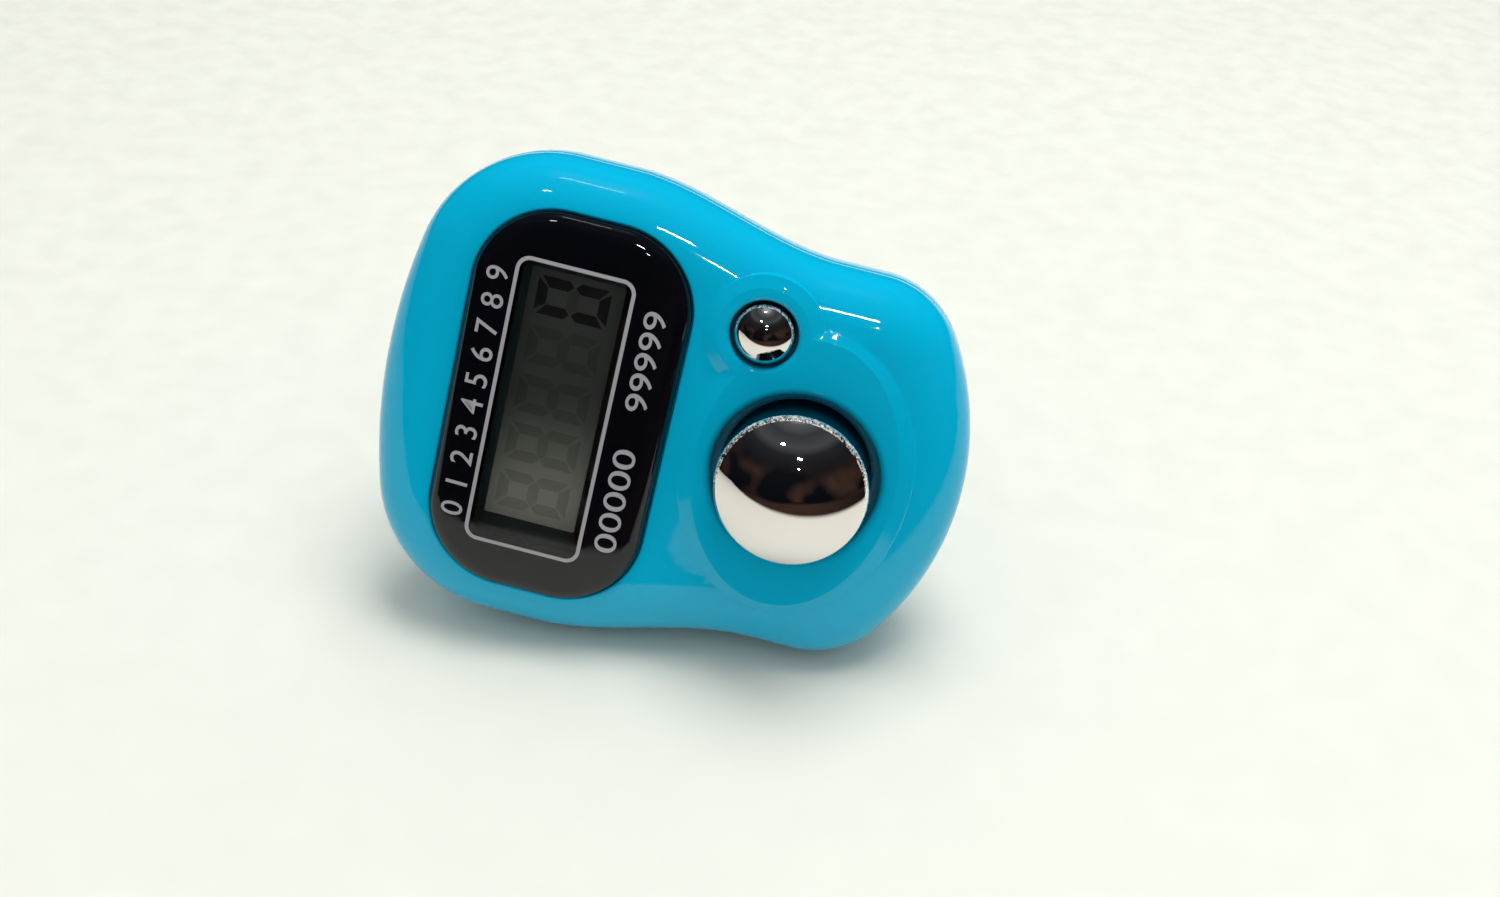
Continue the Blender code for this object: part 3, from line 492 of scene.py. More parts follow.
def away_from(points, centre):
    return np.linalg.norm(points - np.array(centre), axis=1)


def ellipse_share(points, half_sizes):
    return np.linalg.norm((points - np.array(PAD_CENTRE)) / np.array(half_sizes), axis=1)


def rectangle_distance(points, rectangle, grow=0.0):
    """Distance outside a rounded rectangle; negative inside it."""
    centre, length, width, corner = grown(rectangle, grow)
    reach = np.abs(points - np.array(centre)) - np.array((length, width)) / 2 + corner
    outside = np.linalg.norm(np.maximum(reach, 0.0), axis=1)
    return outside + np.minimum(reach.max(axis=1), 0.0) - corner


def rim_drop(away, rounding):
    """How far a rolled rim has dropped at a distance away from its hole's wall."""
    gone = np.clip(rounding - away, 0.0, rounding)
    return rounding - np.sqrt(np.maximum(rounding ** 2 - gone ** 2, 0.0))


def shell_side(skin, side, insets, shoulder, face):
    """The outside of a half shell from its seam round its shoulder: side is 1 for the front, -1 for the back."""
    gap = side * SEAM_HALF_GAP
    rings = [at_height(outline(WALL), gap), at_height(outline(SEAM_ROUNDING), gap)]
    rings.append(at_height(outline(0.3 * SEAM_ROUNDING), gap + side * 0.3 * SEAM_ROUNDING))
    for inset in insets:
        rings.append(at_height(outline(inset), shoulder_height(inset, shoulder, side * SEAM_EDGE, face)))
    skin.tube(rings)


def front_height(points):
    """Height of the front shell: shoulder, button pad, reset boss and the rolled rims."""
    base = shoulder_height(edge_distance(points), FRONT_SHOULDER, SEAM_EDGE, FRONT_HEIGHT)
    inside = ellipse_share(points, PAD_INNER) - 1.0
    outside = 1.0 - ellipse_share(points, PAD_OUTER)
    slope = np.clip(inside / np.maximum(inside + np.maximum(outside, 0.0), 1e-9), 0.0, 1.0)
    pad = PAD_TOP - (PAD_TOP - PAD_EDGE) * slope + np.minimum(outside, 0.0) * 200.0
    away = away_from(points, RESET_CENTRE)
    slope = np.clip((away - BOSS_INNER) / (BOSS_OUTER - BOSS_INNER), 0.0, 1.0)
    boss = PAD_TOP - (PAD_TOP - PAD_EDGE) * slope - np.maximum(away - BOSS_OUTER, 0.0) * 25.0
    top = np.maximum(base, np.maximum(pad, boss))
    from_count = away_from(points, COUNT_CENTRE) - COUNT_HOLE
    from_lens = rectangle_distance(points, POCKET)
    top = top - rim_drop(from_count, COUNT_RIM) - rim_drop(away - RESET_HOLE, RESET_RIM)
    return top - rim_drop(from_lens, POCKET_ROUNDING)


def pocket_outline(grow=0.0):
    return rounded_rectangle(*grown(POCKET, grow), steps=24)


def at_height(ring, height):
    """A plan ring put at one height, or at a height for each point."""
    return np.column_stack([ring, np.broadcast_to(height, (len(ring),))])


def at_length(ring, x):
    """A ring across the body put at one place along it."""
    return np.column_stack([np.full(len(ring), x), ring])


def front_shell(finish):
    """The front of the case, with its lens pocket, window, button pad, reset boss and two holes."""
    skin = Skin()
    shell_side(skin, 1, SHOULDER_INSETS, FRONT_SHOULDER, FRONT_HEIGHT)
    plan_rings = [outline(inset) for inset in (1.2, 1.5, 1.85, 2.2, 2.6, 3.0, 3.4, 3.8, 4.1, 4.4, 4.9)]
    for grow in (-CREASE, 0.0, CREASE):
        plan_rings += [ellipse(PAD_CENTRE, half_sizes, 160, grow) for half_sizes in (PAD_OUTER, PAD_INNER)]
        plan_rings += [circle(RESET_CENTRE, radius + grow, RESET_STEPS) for radius in (BOSS_INNER, BOSS_OUTER)]
    for step in range(7):
        share = 1 - math.cos(math.pi / 2 * step / 6)
        plan_rings.append(circle(COUNT_CENTRE, COUNT_HOLE + COUNT_RIM * share, COUNT_STEPS))
        plan_rings.append(circle(RESET_CENTRE, RESET_HOLE + RESET_RIM * share, RESET_STEPS))
        plan_rings.append(pocket_outline(POCKET_ROUNDING * share))
    plan_rings.append(circle(COUNT_CENTRE, COUNT_HOLE + COUNT_RIM + 0.1, COUNT_STEPS))
    plan_rings.append(pocket_outline(POCKET_ROUNDING + 0.1))

    def on_top(points):
        inside = edge_distance(points) > SHOULDER_INSETS[-1]
        off_count = away_from(points, COUNT_CENTRE) > COUNT_HOLE - EDGE_MARGIN
        off_reset = away_from(points, RESET_CENTRE) > RESET_HOLE - EDGE_MARGIN
        off_lens = rectangle_distance(points, POCKET) > -0.005
        return inside & off_count & off_reset & off_lens

    plan, triangles = plan_mesh(plan_rings, on_top)
    skin.sheet(plan, front_height(plan), triangles)
    for ring in (circle(COUNT_CENTRE, COUNT_HOLE, COUNT_STEPS), circle(RESET_CENTRE, RESET_HOLE, RESET_STEPS)):
        skin.tube([at_height(ring, front_height(ring)), at_height(ring, UNDERSIDE)])
    pocket = pocket_outline()
    skin.tube([at_height(pocket, front_height(pocket)), at_height(pocket, POCKET_FLOOR)])
    window = rounded_rectangle(*WINDOW)
    floor_plan, floor_faces = plan_mesh(
        [pocket, window],
        lambda points: (rectangle_distance(points, POCKET) < 0) & (rectangle_distance(points, WINDOW) > 0),
    )
    skin.sheet(floor_plan, np.full(len(floor_plan), POCKET_FLOOR), floor_faces)
    skin.tube([at_height(window, POCKET_FLOOR), at_height(window, UNDERSIDE)])
    add_inside(skin)
    return piece("front_shell", skin, [finish])


def inner_height(points):
    """Height of the front shell's inside over its rounded shoulder."""
    return shoulder_height(edge_distance(points) - WALL, FRONT_SHOULDER - FIT, SEAM_HALF_GAP, UNDERSIDE)


def add_inside(skin):
    """The inside of the front shell, with a well for the reset button's flange."""
    well_radius = RESET_HOLE + FLANGE_OVERLAP + FIT
    well = circle(RESET_CENTRE, well_radius, RESET_STEPS)
    reset_ring = circle(RESET_CENTRE, RESET_HOLE, RESET_STEPS)
    rings = [outline(WALL + inset) for inset in (0.0, 0.05, 0.3, 0.8, 1.5, 2.4, 3.3, FRONT_SHOULDER - FIT)]
    rings += [circle(COUNT_CENTRE, COUNT_HOLE, COUNT_STEPS), rounded_rectangle(*WINDOW), well]

    def on_inside(points):
        off_count = away_from(points, COUNT_CENTRE) > COUNT_HOLE - EDGE_MARGIN
        off_well = away_from(points, RESET_CENTRE) > well_radius - 0.004
        off_window = rectangle_distance(points, WINDOW) > 0
        return off_count & off_well & off_window & (edge_distance(points) > WALL)

    plan, triangles = plan_mesh(rings, on_inside)
    skin.sheet(plan, inner_height(plan), triangles)
    edge = outline(WALL)
    skin.tube([at_height(edge, SEAM_HALF_GAP), at_height(edge, inner_height(edge))])
    skin.tube([at_height(well, inner_height(well)), at_height(well, UNDERSIDE), at_height(reset_ring, UNDERSIDE)])


def back_height(points):
    """Height of the back shell: its shoulder and the rolled rims of the screw recesses."""
    height = shoulder_height(edge_distance(points), BACK_SHOULDER, -SEAM_EDGE, BACK_FACE)
    for place in SCREW_PLACES:
        height = height + rim_drop(away_from(points, place) - SCREW_RECESS, RECESS_ROUNDING)
    return height


def back_shell(finish):
    """The back of the case: rounded shell, four screw recesses and two ears for the band's pin."""
    skin = Skin()
    shell_side(skin, -1, SHOULDER_INSETS + BACK_INSETS, BACK_SHOULDER, BACK_FACE)
    plan_rings = [outline(inset) for inset in (2.2, 2.6, 3.0, 3.4, 3.8, 4.2, 4.6, 5.1)]
    for place in SCREW_PLACES:
        for away in (0.0, 0.02, 0.07, RECESS_ROUNDING, 0.28):
            plan_rings.append(circle(place, SCREW_RECESS + away, SMALL_STEPS))

    def on_back(points):
        keep = edge_distance(points) > BACK_INSETS[-1]
        for place in SCREW_PLACES:
            keep &= away_from(points, place) > SCREW_RECESS - EDGE_MARGIN
        return keep

    plan, triangles = plan_mesh(plan_rings, on_back)
    skin.sheet(plan, back_height(plan), triangles)
    for place in SCREW_PLACES:
        ring = circle(place, SCREW_RECESS, SMALL_STEPS)
        made = skin.tube([at_height(ring, back_height(ring)), at_height(ring, SCREW_SEAT)])
        skin.face(made[-1])
    inner = []
    for inset in (0.0, 0.1, 0.5, 1.2, 2.2, 3.2):
        height = shoulder_height(inset, 3.2, -SEAM_HALF_GAP, BACK_FACE + WALL)
        inner.append(at_height(outline(WALL + inset), height))
    made = skin.tube(inner)
    skin.face(made[-1])
    shell = loose_piece("back_shell", skin, [finish])
    ears = [pin_ear(BAND_X + side * (BAND_WIDTH / 2 + FIT + EAR_THICKNESS / 2)) for side in (-1, 1)]
    bore = rod((KNUCKLE_Y, KNUCKLE_Z), PIN_RADIUS + PIN_PLAY, BAND_X - BAND_WIDTH, BAND_X + BAND_WIDTH, along="x")
    return to_row(carve(shell, [bore], [finish], SMOOTH_ANGLE, ears))


def pin_ear(x):
    """An ear for the band's pin, round at the pin and flared where it leaves the case."""
    round_part = arc((KNUCKLE_Y, KNUCKLE_Z), EAR_RADIUS, math.pi, math.tau, 24)[0]
    root = BACK_FACE + EAR_FLARE
    waist = EAR_RADIUS + 0.05
    flare = EAR_RADIUS + EAR_FLARE
    neck = BACK_FACE - EAR_WAIST
    sides = np.array([(waist, neck), (flare, root), (-flare, root), (-waist, neck)])
    shape = np.concatenate([round_part, sides + np.array((KNUCKLE_Y, 0.0))])
    centre = np.array((KNUCKLE_Y, (KNUCKLE_Z + root) / 2))
    rings = []
    for offset, shrink in ((-0.5, 0.2), (-0.44, 0.08), (-0.36, 0.0), (0.36, 0.0), (0.44, 0.08), (0.5, 0.2)):
        away = shape - centre
        ring = centre + away * (1 - shrink / np.linalg.norm(away, axis=1))[:, None]
        rings.append(at_length(ring, x + offset * EAR_THICKNESS))
    skin = Skin()
    skin.solid(rings)
    return loose_piece("ear", skin, [])


def lens_height(points):
    """Top of the lens: a soft crown that rolls over at its edge."""
    inside = -rectangle_distance(points, POCKET, -LENS_GAP)
    t = np.clip(inside / (LENS_LENGTH / 2 - LENS_GAP), 0.0, 1.0)
    crown = LENS_CROWN * (1.0 - (1.0 - t) ** 3)
    arch = LENS_ARCH * (1.0 - (points[:, 1] / (LENS_WIDTH / 2)) ** 2)
    return LENS_TOP + crown + np.minimum(arch, 0.6 * inside) - LENS_DROP / LENS_EDGE * rim_drop(inside, LENS_EDGE)


def display_lens(black, clear, ink):
    """The black-backed lens with its clear window and the silver line printed round it."""
    skin = Skin()
    rings = [at_height(pocket_outline(-LENS_GAP), LENS_BOTTOM)]
    for i in range(15):
        depth = LENS_EDGE * (1 - math.cos(math.pi / 2 * i / 14))
        ring = pocket_outline(-LENS_GAP - depth)
        rings.append(at_height(ring, lens_height(ring)))
    skin.tube(rings)
    opening = rounded_rectangle(*grown(FRAME, -FRAME_LINE))
    plan_rings = [pocket_outline(-LENS_GAP - LENS_EDGE), opening, rounded_rectangle(*FRAME)]
    for inset in (1.3, 1.6, 2.0, 2.5, 3.0, 3.6, 4.2, 4.8, 5.3):
        plan_rings.append(pocket_outline(-LENS_GAP - inset))
    for inset in (5.7, 6.2, 6.7):
        centre, length, width, _ = grown(POCKET, -LENS_GAP - inset)
        plan_rings.append(rounded_rectangle(centre, length, width, 0.2))
    plan, triangles = plan_mesh(
        plan_rings, lambda points: -rectangle_distance(points, POCKET, -LENS_GAP) > LENS_EDGE)
    middles = plan[triangles].mean(axis=1)
    through = rectangle_distance(middles, FRAME, -FRAME_LINE) < 0
    framed = rectangle_distance(middles, FRAME) < 0
    heights = lens_height(plan)
    for finish, part in enumerate((~framed, through, framed & ~through)):
        skin.sheet(plan, heights, triangles[part], finish)
    plan, triangles = plan_mesh(
        [pocket_outline(-LENS_GAP), opening], lambda points: rectangle_distance(points, POCKET, -LENS_GAP) < 0)
    through = rectangle_distance(plan[triangles].mean(axis=1), FRAME, -FRAME_LINE) < 0
    for finish, part in enumerate((~through, through)):
        skin.sheet(plan, np.full(len(plan), LENS_BOTTOM), triangles[part], finish)
    return piece("lens", skin, [black, clear, ink])


def printed_numerals(ink):
    """Plain numerals where the case carries its print: nought to nine, and the counter's range."""
    texts = [(str(i), LEFT_PRINT_X, LEFT_PRINT_Y[0] + (LEFT_PRINT_Y[1] - LEFT_PRINT_Y[0]) * i / 9, None)
             for i in range(10)]
    for text, (low, high) in (("00000", LOWER_PRINT_Y), ("99999", UPPER_PRINT_Y)):
        texts.append((text, RIGHT_PRINT_X, (low + high) / 2, high - low))
    maker = bmesh.new()
    for text, x, y, run in texts:
        curve = bpy.data.curves.new("numeral", "FONT")
        curve.body = text
        curve.size = FONT_TO_NUMERAL * NUMERAL_HEIGHT
        curve.offset = INK_SPREAD
        curve.resolution_u = 6
        carrier = show("numeral", curve)
        bpy.context.view_layer.update()
        graph = bpy.context.evaluated_depsgraph_get()
        letters = bpy.data.meshes.new_from_object(carrier.evaluated_get(graph))
        corners = np.array([tuple(vert.co) for vert in letters.vertices])
        low, high = corners.min(axis=0), corners.max(axis=0)
        middle = Matrix.Translation((-(low[0] + high[0]) / 2, -(low[1] + high[1]) / 2, 0.0))
        stretch = (run / (high[0] - low[0])) if run else NUMERAL_HEIGHT / (high[1] - low[1])
        sized = Matrix.Diagonal((stretch, NUMERAL_HEIGHT / (high[1] - low[1]), 1.0, 1.0))
        letters.transform(Matrix.Translation((x, y, 0.0)) @ Matrix.Rotation(math.pi / 2, 4, "Z") @ sized @ middle)
        maker.from_mesh(letters)
        bpy.data.objects.remove(carrier, do_unlink=True)
        bpy.data.curves.remove(curve)
        bpy.data.meshes.remove(letters)
    bmesh.ops.remove_doubles(maker, verts=maker.verts, dist=1e-4)
    maker.verts.index_update()
    plan = np.array([(vert.co.x, vert.co.y) for vert in maker.verts])
    skin = Skin()
    upper = skin.ring(at_height(plan, lens_height(plan) + INK_LIFT))
    lower = skin.ring(at_height(plan, lens_height(plan) - INK_DEPTH))
    for face in maker.faces:
        skin.face([upper[vert.index] for vert in face.verts])
        skin.face([lower[vert.index] for vert in reversed(face.verts)])
    for edge in maker.edges:
        if edge.is_boundary:
            start, end = (vert.index for vert in edge.verts)
            skin.face((upper[start], upper[end], lower[end], lower[start]))
    maker.free()
    return piece("numerals", skin, [ink])


def digit_segments():
    """Outlines of the seven segments of one digit, centred, the digit's top towards -X."""
    half_h = DIGIT_HEIGHT / 2
    half_w = DIGIT_WIDTH / 2
    bar = DIGIT_BAR
    gap = DIGIT_GAP
    cut = DIGIT_CUT
    top = [(-half_h, -half_w + gap + cut), (-half_h, half_w - gap - cut), (-half_h + bar, half_w - bar - gap),
           (-half_h + bar, -half_w + bar + gap)]
    side = [(-half_h + gap + cut, half_w), (-gap - 0.5 * bar, half_w), (-gap, half_w - 0.5 * bar),
            (-gap - 0.5 * bar, half_w - bar), (-half_h + bar + gap, half_w - bar)]
    middle = [(-0.5 * bar, -half_w + bar + gap), (0.0, -half_w + 0.5 * bar + gap), (0.5 * bar, -half_w + bar + gap),
              (0.5 * bar, half_w - bar - gap), (0.0, half_w - 0.5 * bar - gap), (-0.5 * bar, half_w - bar - gap)]
    shapes = {"top": top, "upper_right": side, "middle": middle}
    shapes["bottom"] = [(-x, y) for x, y in top]
    shapes["upper_left"] = [(x, -y) for x, y in side]
    shapes["lower_right"] = [(-x, y) for x, y in side]
    shapes["lower_left"] = [(-x, -y) for x, y in side]
    return shapes


def segments(name, names, thickness, finish):
    """The named segments of one digit as a loose piece, centred on the units digit's place."""
    skin = Skin()
    for label, shape in digit_segments().items():
        if label in names:
            points = np.array(shape)
            skin.solid([at_height(points, 0.0), at_height(points, thickness)])
    return loose_piece(name, skin, [finish], 30.0)


def plate(name, centre, size, low, high, finish, corner=0.15):
    """A thin plate of the display with its upper edge just broken."""
    skin = Skin()
    edge = min(0.05, (high - low) / 3)
    foot = rounded_rectangle(centre, *size, corner, 4)
    top = rounded_rectangle(centre, size[0] - 2 * edge, size[1] - 2 * edge, corner, 4)
    skin.solid([at_height(foot, low), at_height(foot, high - edge), at_height(top, high)])
    return piece(name, skin, [finish], 15.0)


def display_panel(finishes):
    """The display glass with its grey sheet, a black strip of painted shade at the sheet's edge, one dark nought
    and four idle digits.
    """
    made = [plate("display_glass", WINDOW[0], (GLASS_LENGTH, GLASS_WIDTH), GLASS_TOP - GLASS_THICKNESS,
                  GLASS_TOP, finishes["surround"], 0.3)]
    made.append(plate("display_sheet", SHEET_CENTRE, SHEET_SIZE, GLASS_TOP - 0.1, GLASS_TOP + 0.03,
                      finishes["sheet"]))
    # Painted shade: a black strip along the sheet's edge towards the buttons, where the display shows a dark gap
    shade_strip_x = SHEET_CENTRE[0] + SHEET_SIZE[0] / 2 + SHADE_STRIP_WIDTH / 2
    made.append(plate("display_mask", (shade_strip_x, SHEET_CENTRE[1]), (SHADE_STRIP_WIDTH, GLASS_WIDTH - 1.0), GLASS_TOP - 0.1,
                      GLASS_TOP + 0.04, finishes["mask"], 0.1))
    names = set(digit_segments())
    for name, shown, thickness, state, digits in (("units_digit", names - {"middle"}, 0.05, "lit", [0]),
                                                  ("units_idle_bar", {"middle"}, 0.03, "idle", [0]),
                                                  ("idle_digits", names, 0.03, "idle", [1, 2, 3, 4])):
        places = [(DIGIT_X, UNITS_Y - DIGIT_PITCH * i, GLASS_TOP + 0.02) for i in digits]
        unit = segments("segments", shown, thickness, finishes[state])
        made.append(repeated(name, unit, places, finishes[state]))
    return made


def turned_rings(profile, centre, steps):
    return [at_height(circle(centre, max(radius, 0.001), steps), height) for radius, height in profile]


def rubber_top(spring):
    """Height of the rubber dome's top on the board, above its pill and the gap the pill closes."""
    return BOARD_TOP + spring[0] + PILL_STOP_GAP + PILL_THICKNESS + FIT + RUBBER_SKIN


def rubber_spring(name, centre, spring, silicone, carbon):
    """The rubber dome under a button and the carbon pill in it, drawn at rest."""
    travel, plunger, rim, keep = spring
    pill = plunger - CLOSE_FIT
    low = BOARD_TOP + travel + PILL_STOP_GAP
    high = low + PILL_THICKNESS
    top = rubber_top(spring)
    foot = BOARD_TOP + FIT
    crown = pill + RUBBER_SKIN
    dome = [(0.0, top), (crown - 0.16, top), (crown - 0.05, top - 0.04), (crown, top - 0.14),
            (rim - 0.06, foot + RUBBER_SKIN + 0.03), (rim, foot + RUBBER_SKIN - 0.08), (rim, foot),
            (rim - RUBBER_SKIN, foot), (pill + CLOSE_FIT, top - RUBBER_SKIN), (0.0, top - RUBBER_SKIN)]
    disc = [(0.0, high), (pill - 0.06, high), (pill, high - 0.06),
            (pill, low + 0.06), (pill - 0.06, low), (0.0, low)]
    pieces = []
    for part, profile, finish in (("silicone_dome", dome, silicone), ("carbon_pill", disc, carbon)):
        skin = Skin()
        skin.solid(turned_rings(profile, centre, 64))
        pieces.append(piece(f"{name}_{part}", skin, [finish], 30.0))
        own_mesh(pieces[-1])
    return pieces


def button(name, centre, radius, shoulder, rise, rounding, hole, spring, finishes):
    """A plated dome with a rolled edge and straight side, above the flange that keeps it in the case."""
    sphere = (radius ** 2 + rise ** 2) / (2 * rise)
    middle = shoulder + rise - sphere
    slope = math.asin((radius - rounding) / sphere)
    profile = []
    for i in range(DOME_STEPS + 1):
        angle = slope * i / DOME_STEPS
        profile.append((sphere * math.sin(angle), middle + sphere * math.cos(angle)))
    edge_r, edge_z = profile[-1]
    roll = (radius - edge_r) / (1 - math.sin(slope))
    for i in range(1, ROLL_STEPS + 1):
        angle = slope + (math.pi / 2 - slope) * i / ROLL_STEPS
        reach = radius - roll + roll * math.sin(angle)
        profile.append((reach, edge_z - roll * math.cos(slope) + roll * math.cos(angle)))
    flange = hole + FLANGE_OVERLAP
    low = FLANGE_TOP - FLANGE_THICKNESS
    profile += [(radius, FLANGE_TOP + 0.15), (radius + 0.12, FLANGE_TOP), (flange - 0.1, FLANGE_TOP)]
    profile += [(flange, FLANGE_TOP - 0.1), (flange, low)]
    inner = radius - BUTTON_SKIN
    plunger = spring[1]
    end = rubber_top(spring) + FIT
    if inner > plunger + BUTTON_SKIN:
        profile += [(inner, low), (inner, shoulder - BUTTON_SKIN), (plunger, shoulder - BUTTON_SKIN)]
    else:
        profile.append((plunger, low))
    profile += [(plunger, end), (0.0, end)]
    skin = Skin()
    made = [skin.ring(ring) for ring in turned_rings(profile, centre, COUNT_STEPS)]
    # Finishes in turn: dome chrome, the rim with painted highlight, the side with painted shade, then the bare
    # flange and inside
    parts = [0] * DOME_STEPS + [1] * ROLL_STEPS + [2]
    for i, (upper, lower) in enumerate(zip(made, made[1:])):
        skin.bridge(upper, lower, parts[i] if i < len(parts) else 3)
    skin.face(made[0])
    skin.face(made[-1], 3)
    # The crinkly rim with its painted highlight is only round the upper half, the side towards the lights; below,
    # the roll is plain chrome
    for i, part in enumerate(skin.finishes):
        if part == 1 and skin.corners[skin.faces[i][0]][1] < centre[1] - 0.1 * radius:
            skin.finishes[i] = 0
    return piece(name, skin, finishes)


def case_screws(steel):
    """The four self-tapping screws: pan heads with a cross recess, and a coarse thread."""
    under = SCREW_SEAT - FIT
    crown = under - SCREW_HEAD_HEIGHT
    reach = SCREW_HEAD_RADIUS
    skin = Skin()
    head = [(0.0, crown), (0.55 * reach, crown + 0.02), (0.8 * reach, crown + 0.1), (0.94 * reach, crown + 0.24),
            (reach, crown + 0.42), (reach, under - 0.05), (reach - 0.05, under), (SCREW_RADIUS, under)]
    rings = turned_rings(head, (0.0, 0.0), 32)
    count = 90
    for i in range(count + 1):
        height = under + 0.1 + (SCREW_TIP - under - 0.1) * i / count
        angles = np.linspace(0.0, math.tau, 33)[:-1]
        phase = np.mod((height - under) / THREAD_PITCH - angles / math.tau, 1.0)
        ridge = np.clip(1.0 - np.abs(phase - 0.5) * 5.0, 0.0, 1.0)
        taper = min(1.0, (SCREW_TIP - height) / (2 * SCREW_RADIUS) + 0.15)
        radius = taper * (0.8 * SCREW_RADIUS + 0.2 * SCREW_RADIUS * ridge)
        rings.append(np.column_stack([radius * np.cos(angles), radius * np.sin(angles), np.full(32, height)]))
    skin.solid(rings)
    screw = loose_piece("screw", skin, [steel])
    half = CROSS_LENGTH / 2
    slim = CROSS_WIDTH / 2
    cutter = Skin()
    arms = [(half, -slim), (half, slim), (slim + 0.08, slim + 0.08), (slim, half), (-slim, half),
            (-slim - 0.08, slim + 0.08), (-half, slim), (-half, -slim), (-slim - 0.08, -slim - 0.08),
            (-slim, -half), (slim, -half), (slim + 0.08, -slim - 0.08)]
    mouth = np.array(arms)
    cutter.solid([at_height(1.1 * mouth, crown - 0.3), at_height(mouth, crown),
                  at_height(0.5 * mouth, crown + CROSS_DEPTH)])
    screw = carve(screw, [loose_piece("cross", cutter, [])], [steel], 35.0)
    places = [(x, y, 0.0) for x, y in SCREW_PLACES]
    return repeated("case_screws", screw, places, steel, turn=math.pi / 4, seed=7, smooth=35.0)


def band_line():
    """The finger band's centreline across the case, from its knuckle round to its tab."""
    points, normals = arc((0.0, BAND_CENTRE_Z), BAND_LINE_RADIUS, math.pi, math.tau, 96)
    line = [((KNUCKLE_Y, KNUCKLE_Z - 1.05), (-1.0, 0.0)), *zip(points, normals)]
    bend = (BAND_LINE_RADIUS + TAB_BEND, TAB_Z - TAB_BEND)
    points, normals = arc(bend, TAB_BEND, math.pi, math.pi / 2, 12)
    line += zip(points, -normals)
    line.append(((TAB_END_Y - 0.5, TAB_Z), (0.0, -1.0)))
    return line


def finger_band(finish):
    """The soft strap that loops round the finger, on its knuckle at one end and holed at the other."""
    skin = Skin()
    line = band_line()
    half = BAND_THICKNESS / 2
    side = BAND_WIDTH / 2
    rings = []
    for i in range(13):
        angle = -math.pi / 2 + math.pi * i / 12
        sideways = math.copysign(1.0, math.sin(angle)) if i != 6 else 0.0
        x = (side - STRAP_ROLL) * sideways + STRAP_ROLL * math.sin(angle)
        reach = half - STRAP_ROLL + STRAP_ROLL * math.cos(angle)
        outer = [(y + reach * ny, z + reach * nz) for (y, z), (ny, nz) in line]
        inner = [(y - reach * ny, z - reach * nz) for (y, z), (ny, nz) in line]
        tip = arc((TAB_END_Y - 0.5, TAB_Z), reach, -math.pi / 2, math.pi / 2, 8)[0][1:-1]
        shape = np.array(outer + [tuple(point) for point in tip] + inner[::-1])
        rings.append(at_length(shape, BAND_X + x))
    skin.solid(rings)
    strap = loose_piece("strap", skin, [finish], STRAP_SMOOTH)
    barrel = []
    for offset, radius in ((-0.5, 1.25), (-0.49, 1.4), (-0.47, 1.5), (0.47, 1.5), (0.49, 1.4), (0.5, 1.25)):
        ring = circle((KNUCKLE_Y, KNUCKLE_Z), radius * KNUCKLE_RADIUS / 1.5, 48)
        barrel.append(at_length(ring, BAND_X + offset * BAND_WIDTH))
    skin = Skin()
    skin.solid(barrel)
    knuckle = loose_piece("knuckle", skin, [finish])
    bore = rod((KNUCKLE_Y, KNUCKLE_Z), PIN_RADIUS + PIN_PLAY, BAND_X - BAND_WIDTH, BAND_X + BAND_WIDTH, along="x")
    hole = rod((BAND_X, STUD_Y), STUD_RADIUS + FIT, TAB_Z - 2.0, TAB_Z + 2.0)
    return to_row(carve(strap, [bore, hole], [finish], STRAP_SMOOTH, [knuckle]))


def band_fittings(steel, plastic):
    """The hinge pin with domed ends, and the mushroom stud that the strap's tab hooks over."""
    skin = Skin()
    half = BAND_WIDTH / 2 + FIT + EAR_THICKNESS + 0.4
    rings = []
    for x, radius in ((-half, 0.25), (0.12 - half, 0.5), (0.3 - half, 0.6), (half - 0.3, 0.6), (half - 0.12, 0.5),
                      (half, 0.25)):
        ring = circle((KNUCKLE_Y, KNUCKLE_Z), radius * PIN_RADIUS / 0.6, 40)
        rings.append(at_length(ring, BAND_X + x))
    skin.solid(rings)
    pin = piece("hinge_pin", skin, [steel])
    skin = Skin()
    end = TAB_Z - BAND_THICKNESS / 2 - 0.5
    profile = [(0.3, end), (0.62, end + 0.05), (0.76, end + 0.16), (STUD_RADIUS, end + 0.34), (STUD_RADIUS, -5.6)]
    skin.solid(turned_rings(profile, (BAND_X, STUD_Y), 48))
    return pin, piece("strap_stud", skin, [plastic])


def linear(colour):
    """An sRGB hex colour as linear values."""
    values = []
    for i in (0, 2, 4):
        share = int(colour[i:i + 2], 16) / 255
        values.append(share / 12.92 if share <= 0.04045 else ((share + 0.055) / 1.055) ** 2.4)
    return (*values, 1.0)


def node(tree, kind, settings=None, **links):
    """Add a node, set its properties and inputs, and link given sockets, or given nodes' first outputs."""
    made = tree.nodes.new(kind)
    for key, value in (settings or {}).items():
        setattr(made, key, value)
    for key, value in links.items():
        name = key.replace("_", " ")
        socket = made.inputs[int(key[1:])] if key[0] == "i" and key[1:].isdigit() else made.inputs[name]
        value = value.outputs[0] if isinstance(value, bpy.types.Node) else value
        if isinstance(value, bpy.types.NodeSocket):
            tree.links.new(value, socket)
        else:
            socket.default_value = value
    return made


def finish_tree(name):
    made = bpy.data.materials.new(name)
    made.use_nodes = True
    made.node_tree.nodes.clear()
    return made, made.node_tree


def patterned(name):
    """A new material and its node tree, with the piece's own coordinates for its patterns."""
    made, tree = finish_tree(name)
    return made, tree, node(tree, "ShaderNodeTexCoord").outputs["Object"]


def hazy(tree, place, size_mm, detail, span, least, most):
    """Roughness that drifts from least to most in patches of a real size."""
    haze = node(tree, "ShaderNodeTexNoise", Vector=place, Scale=1000 / size_mm, Detail=detail)
    return node(tree, "ShaderNodeMapRange", i0=haze, i1=span[0], i2=span[1], i3=least, i4=most)


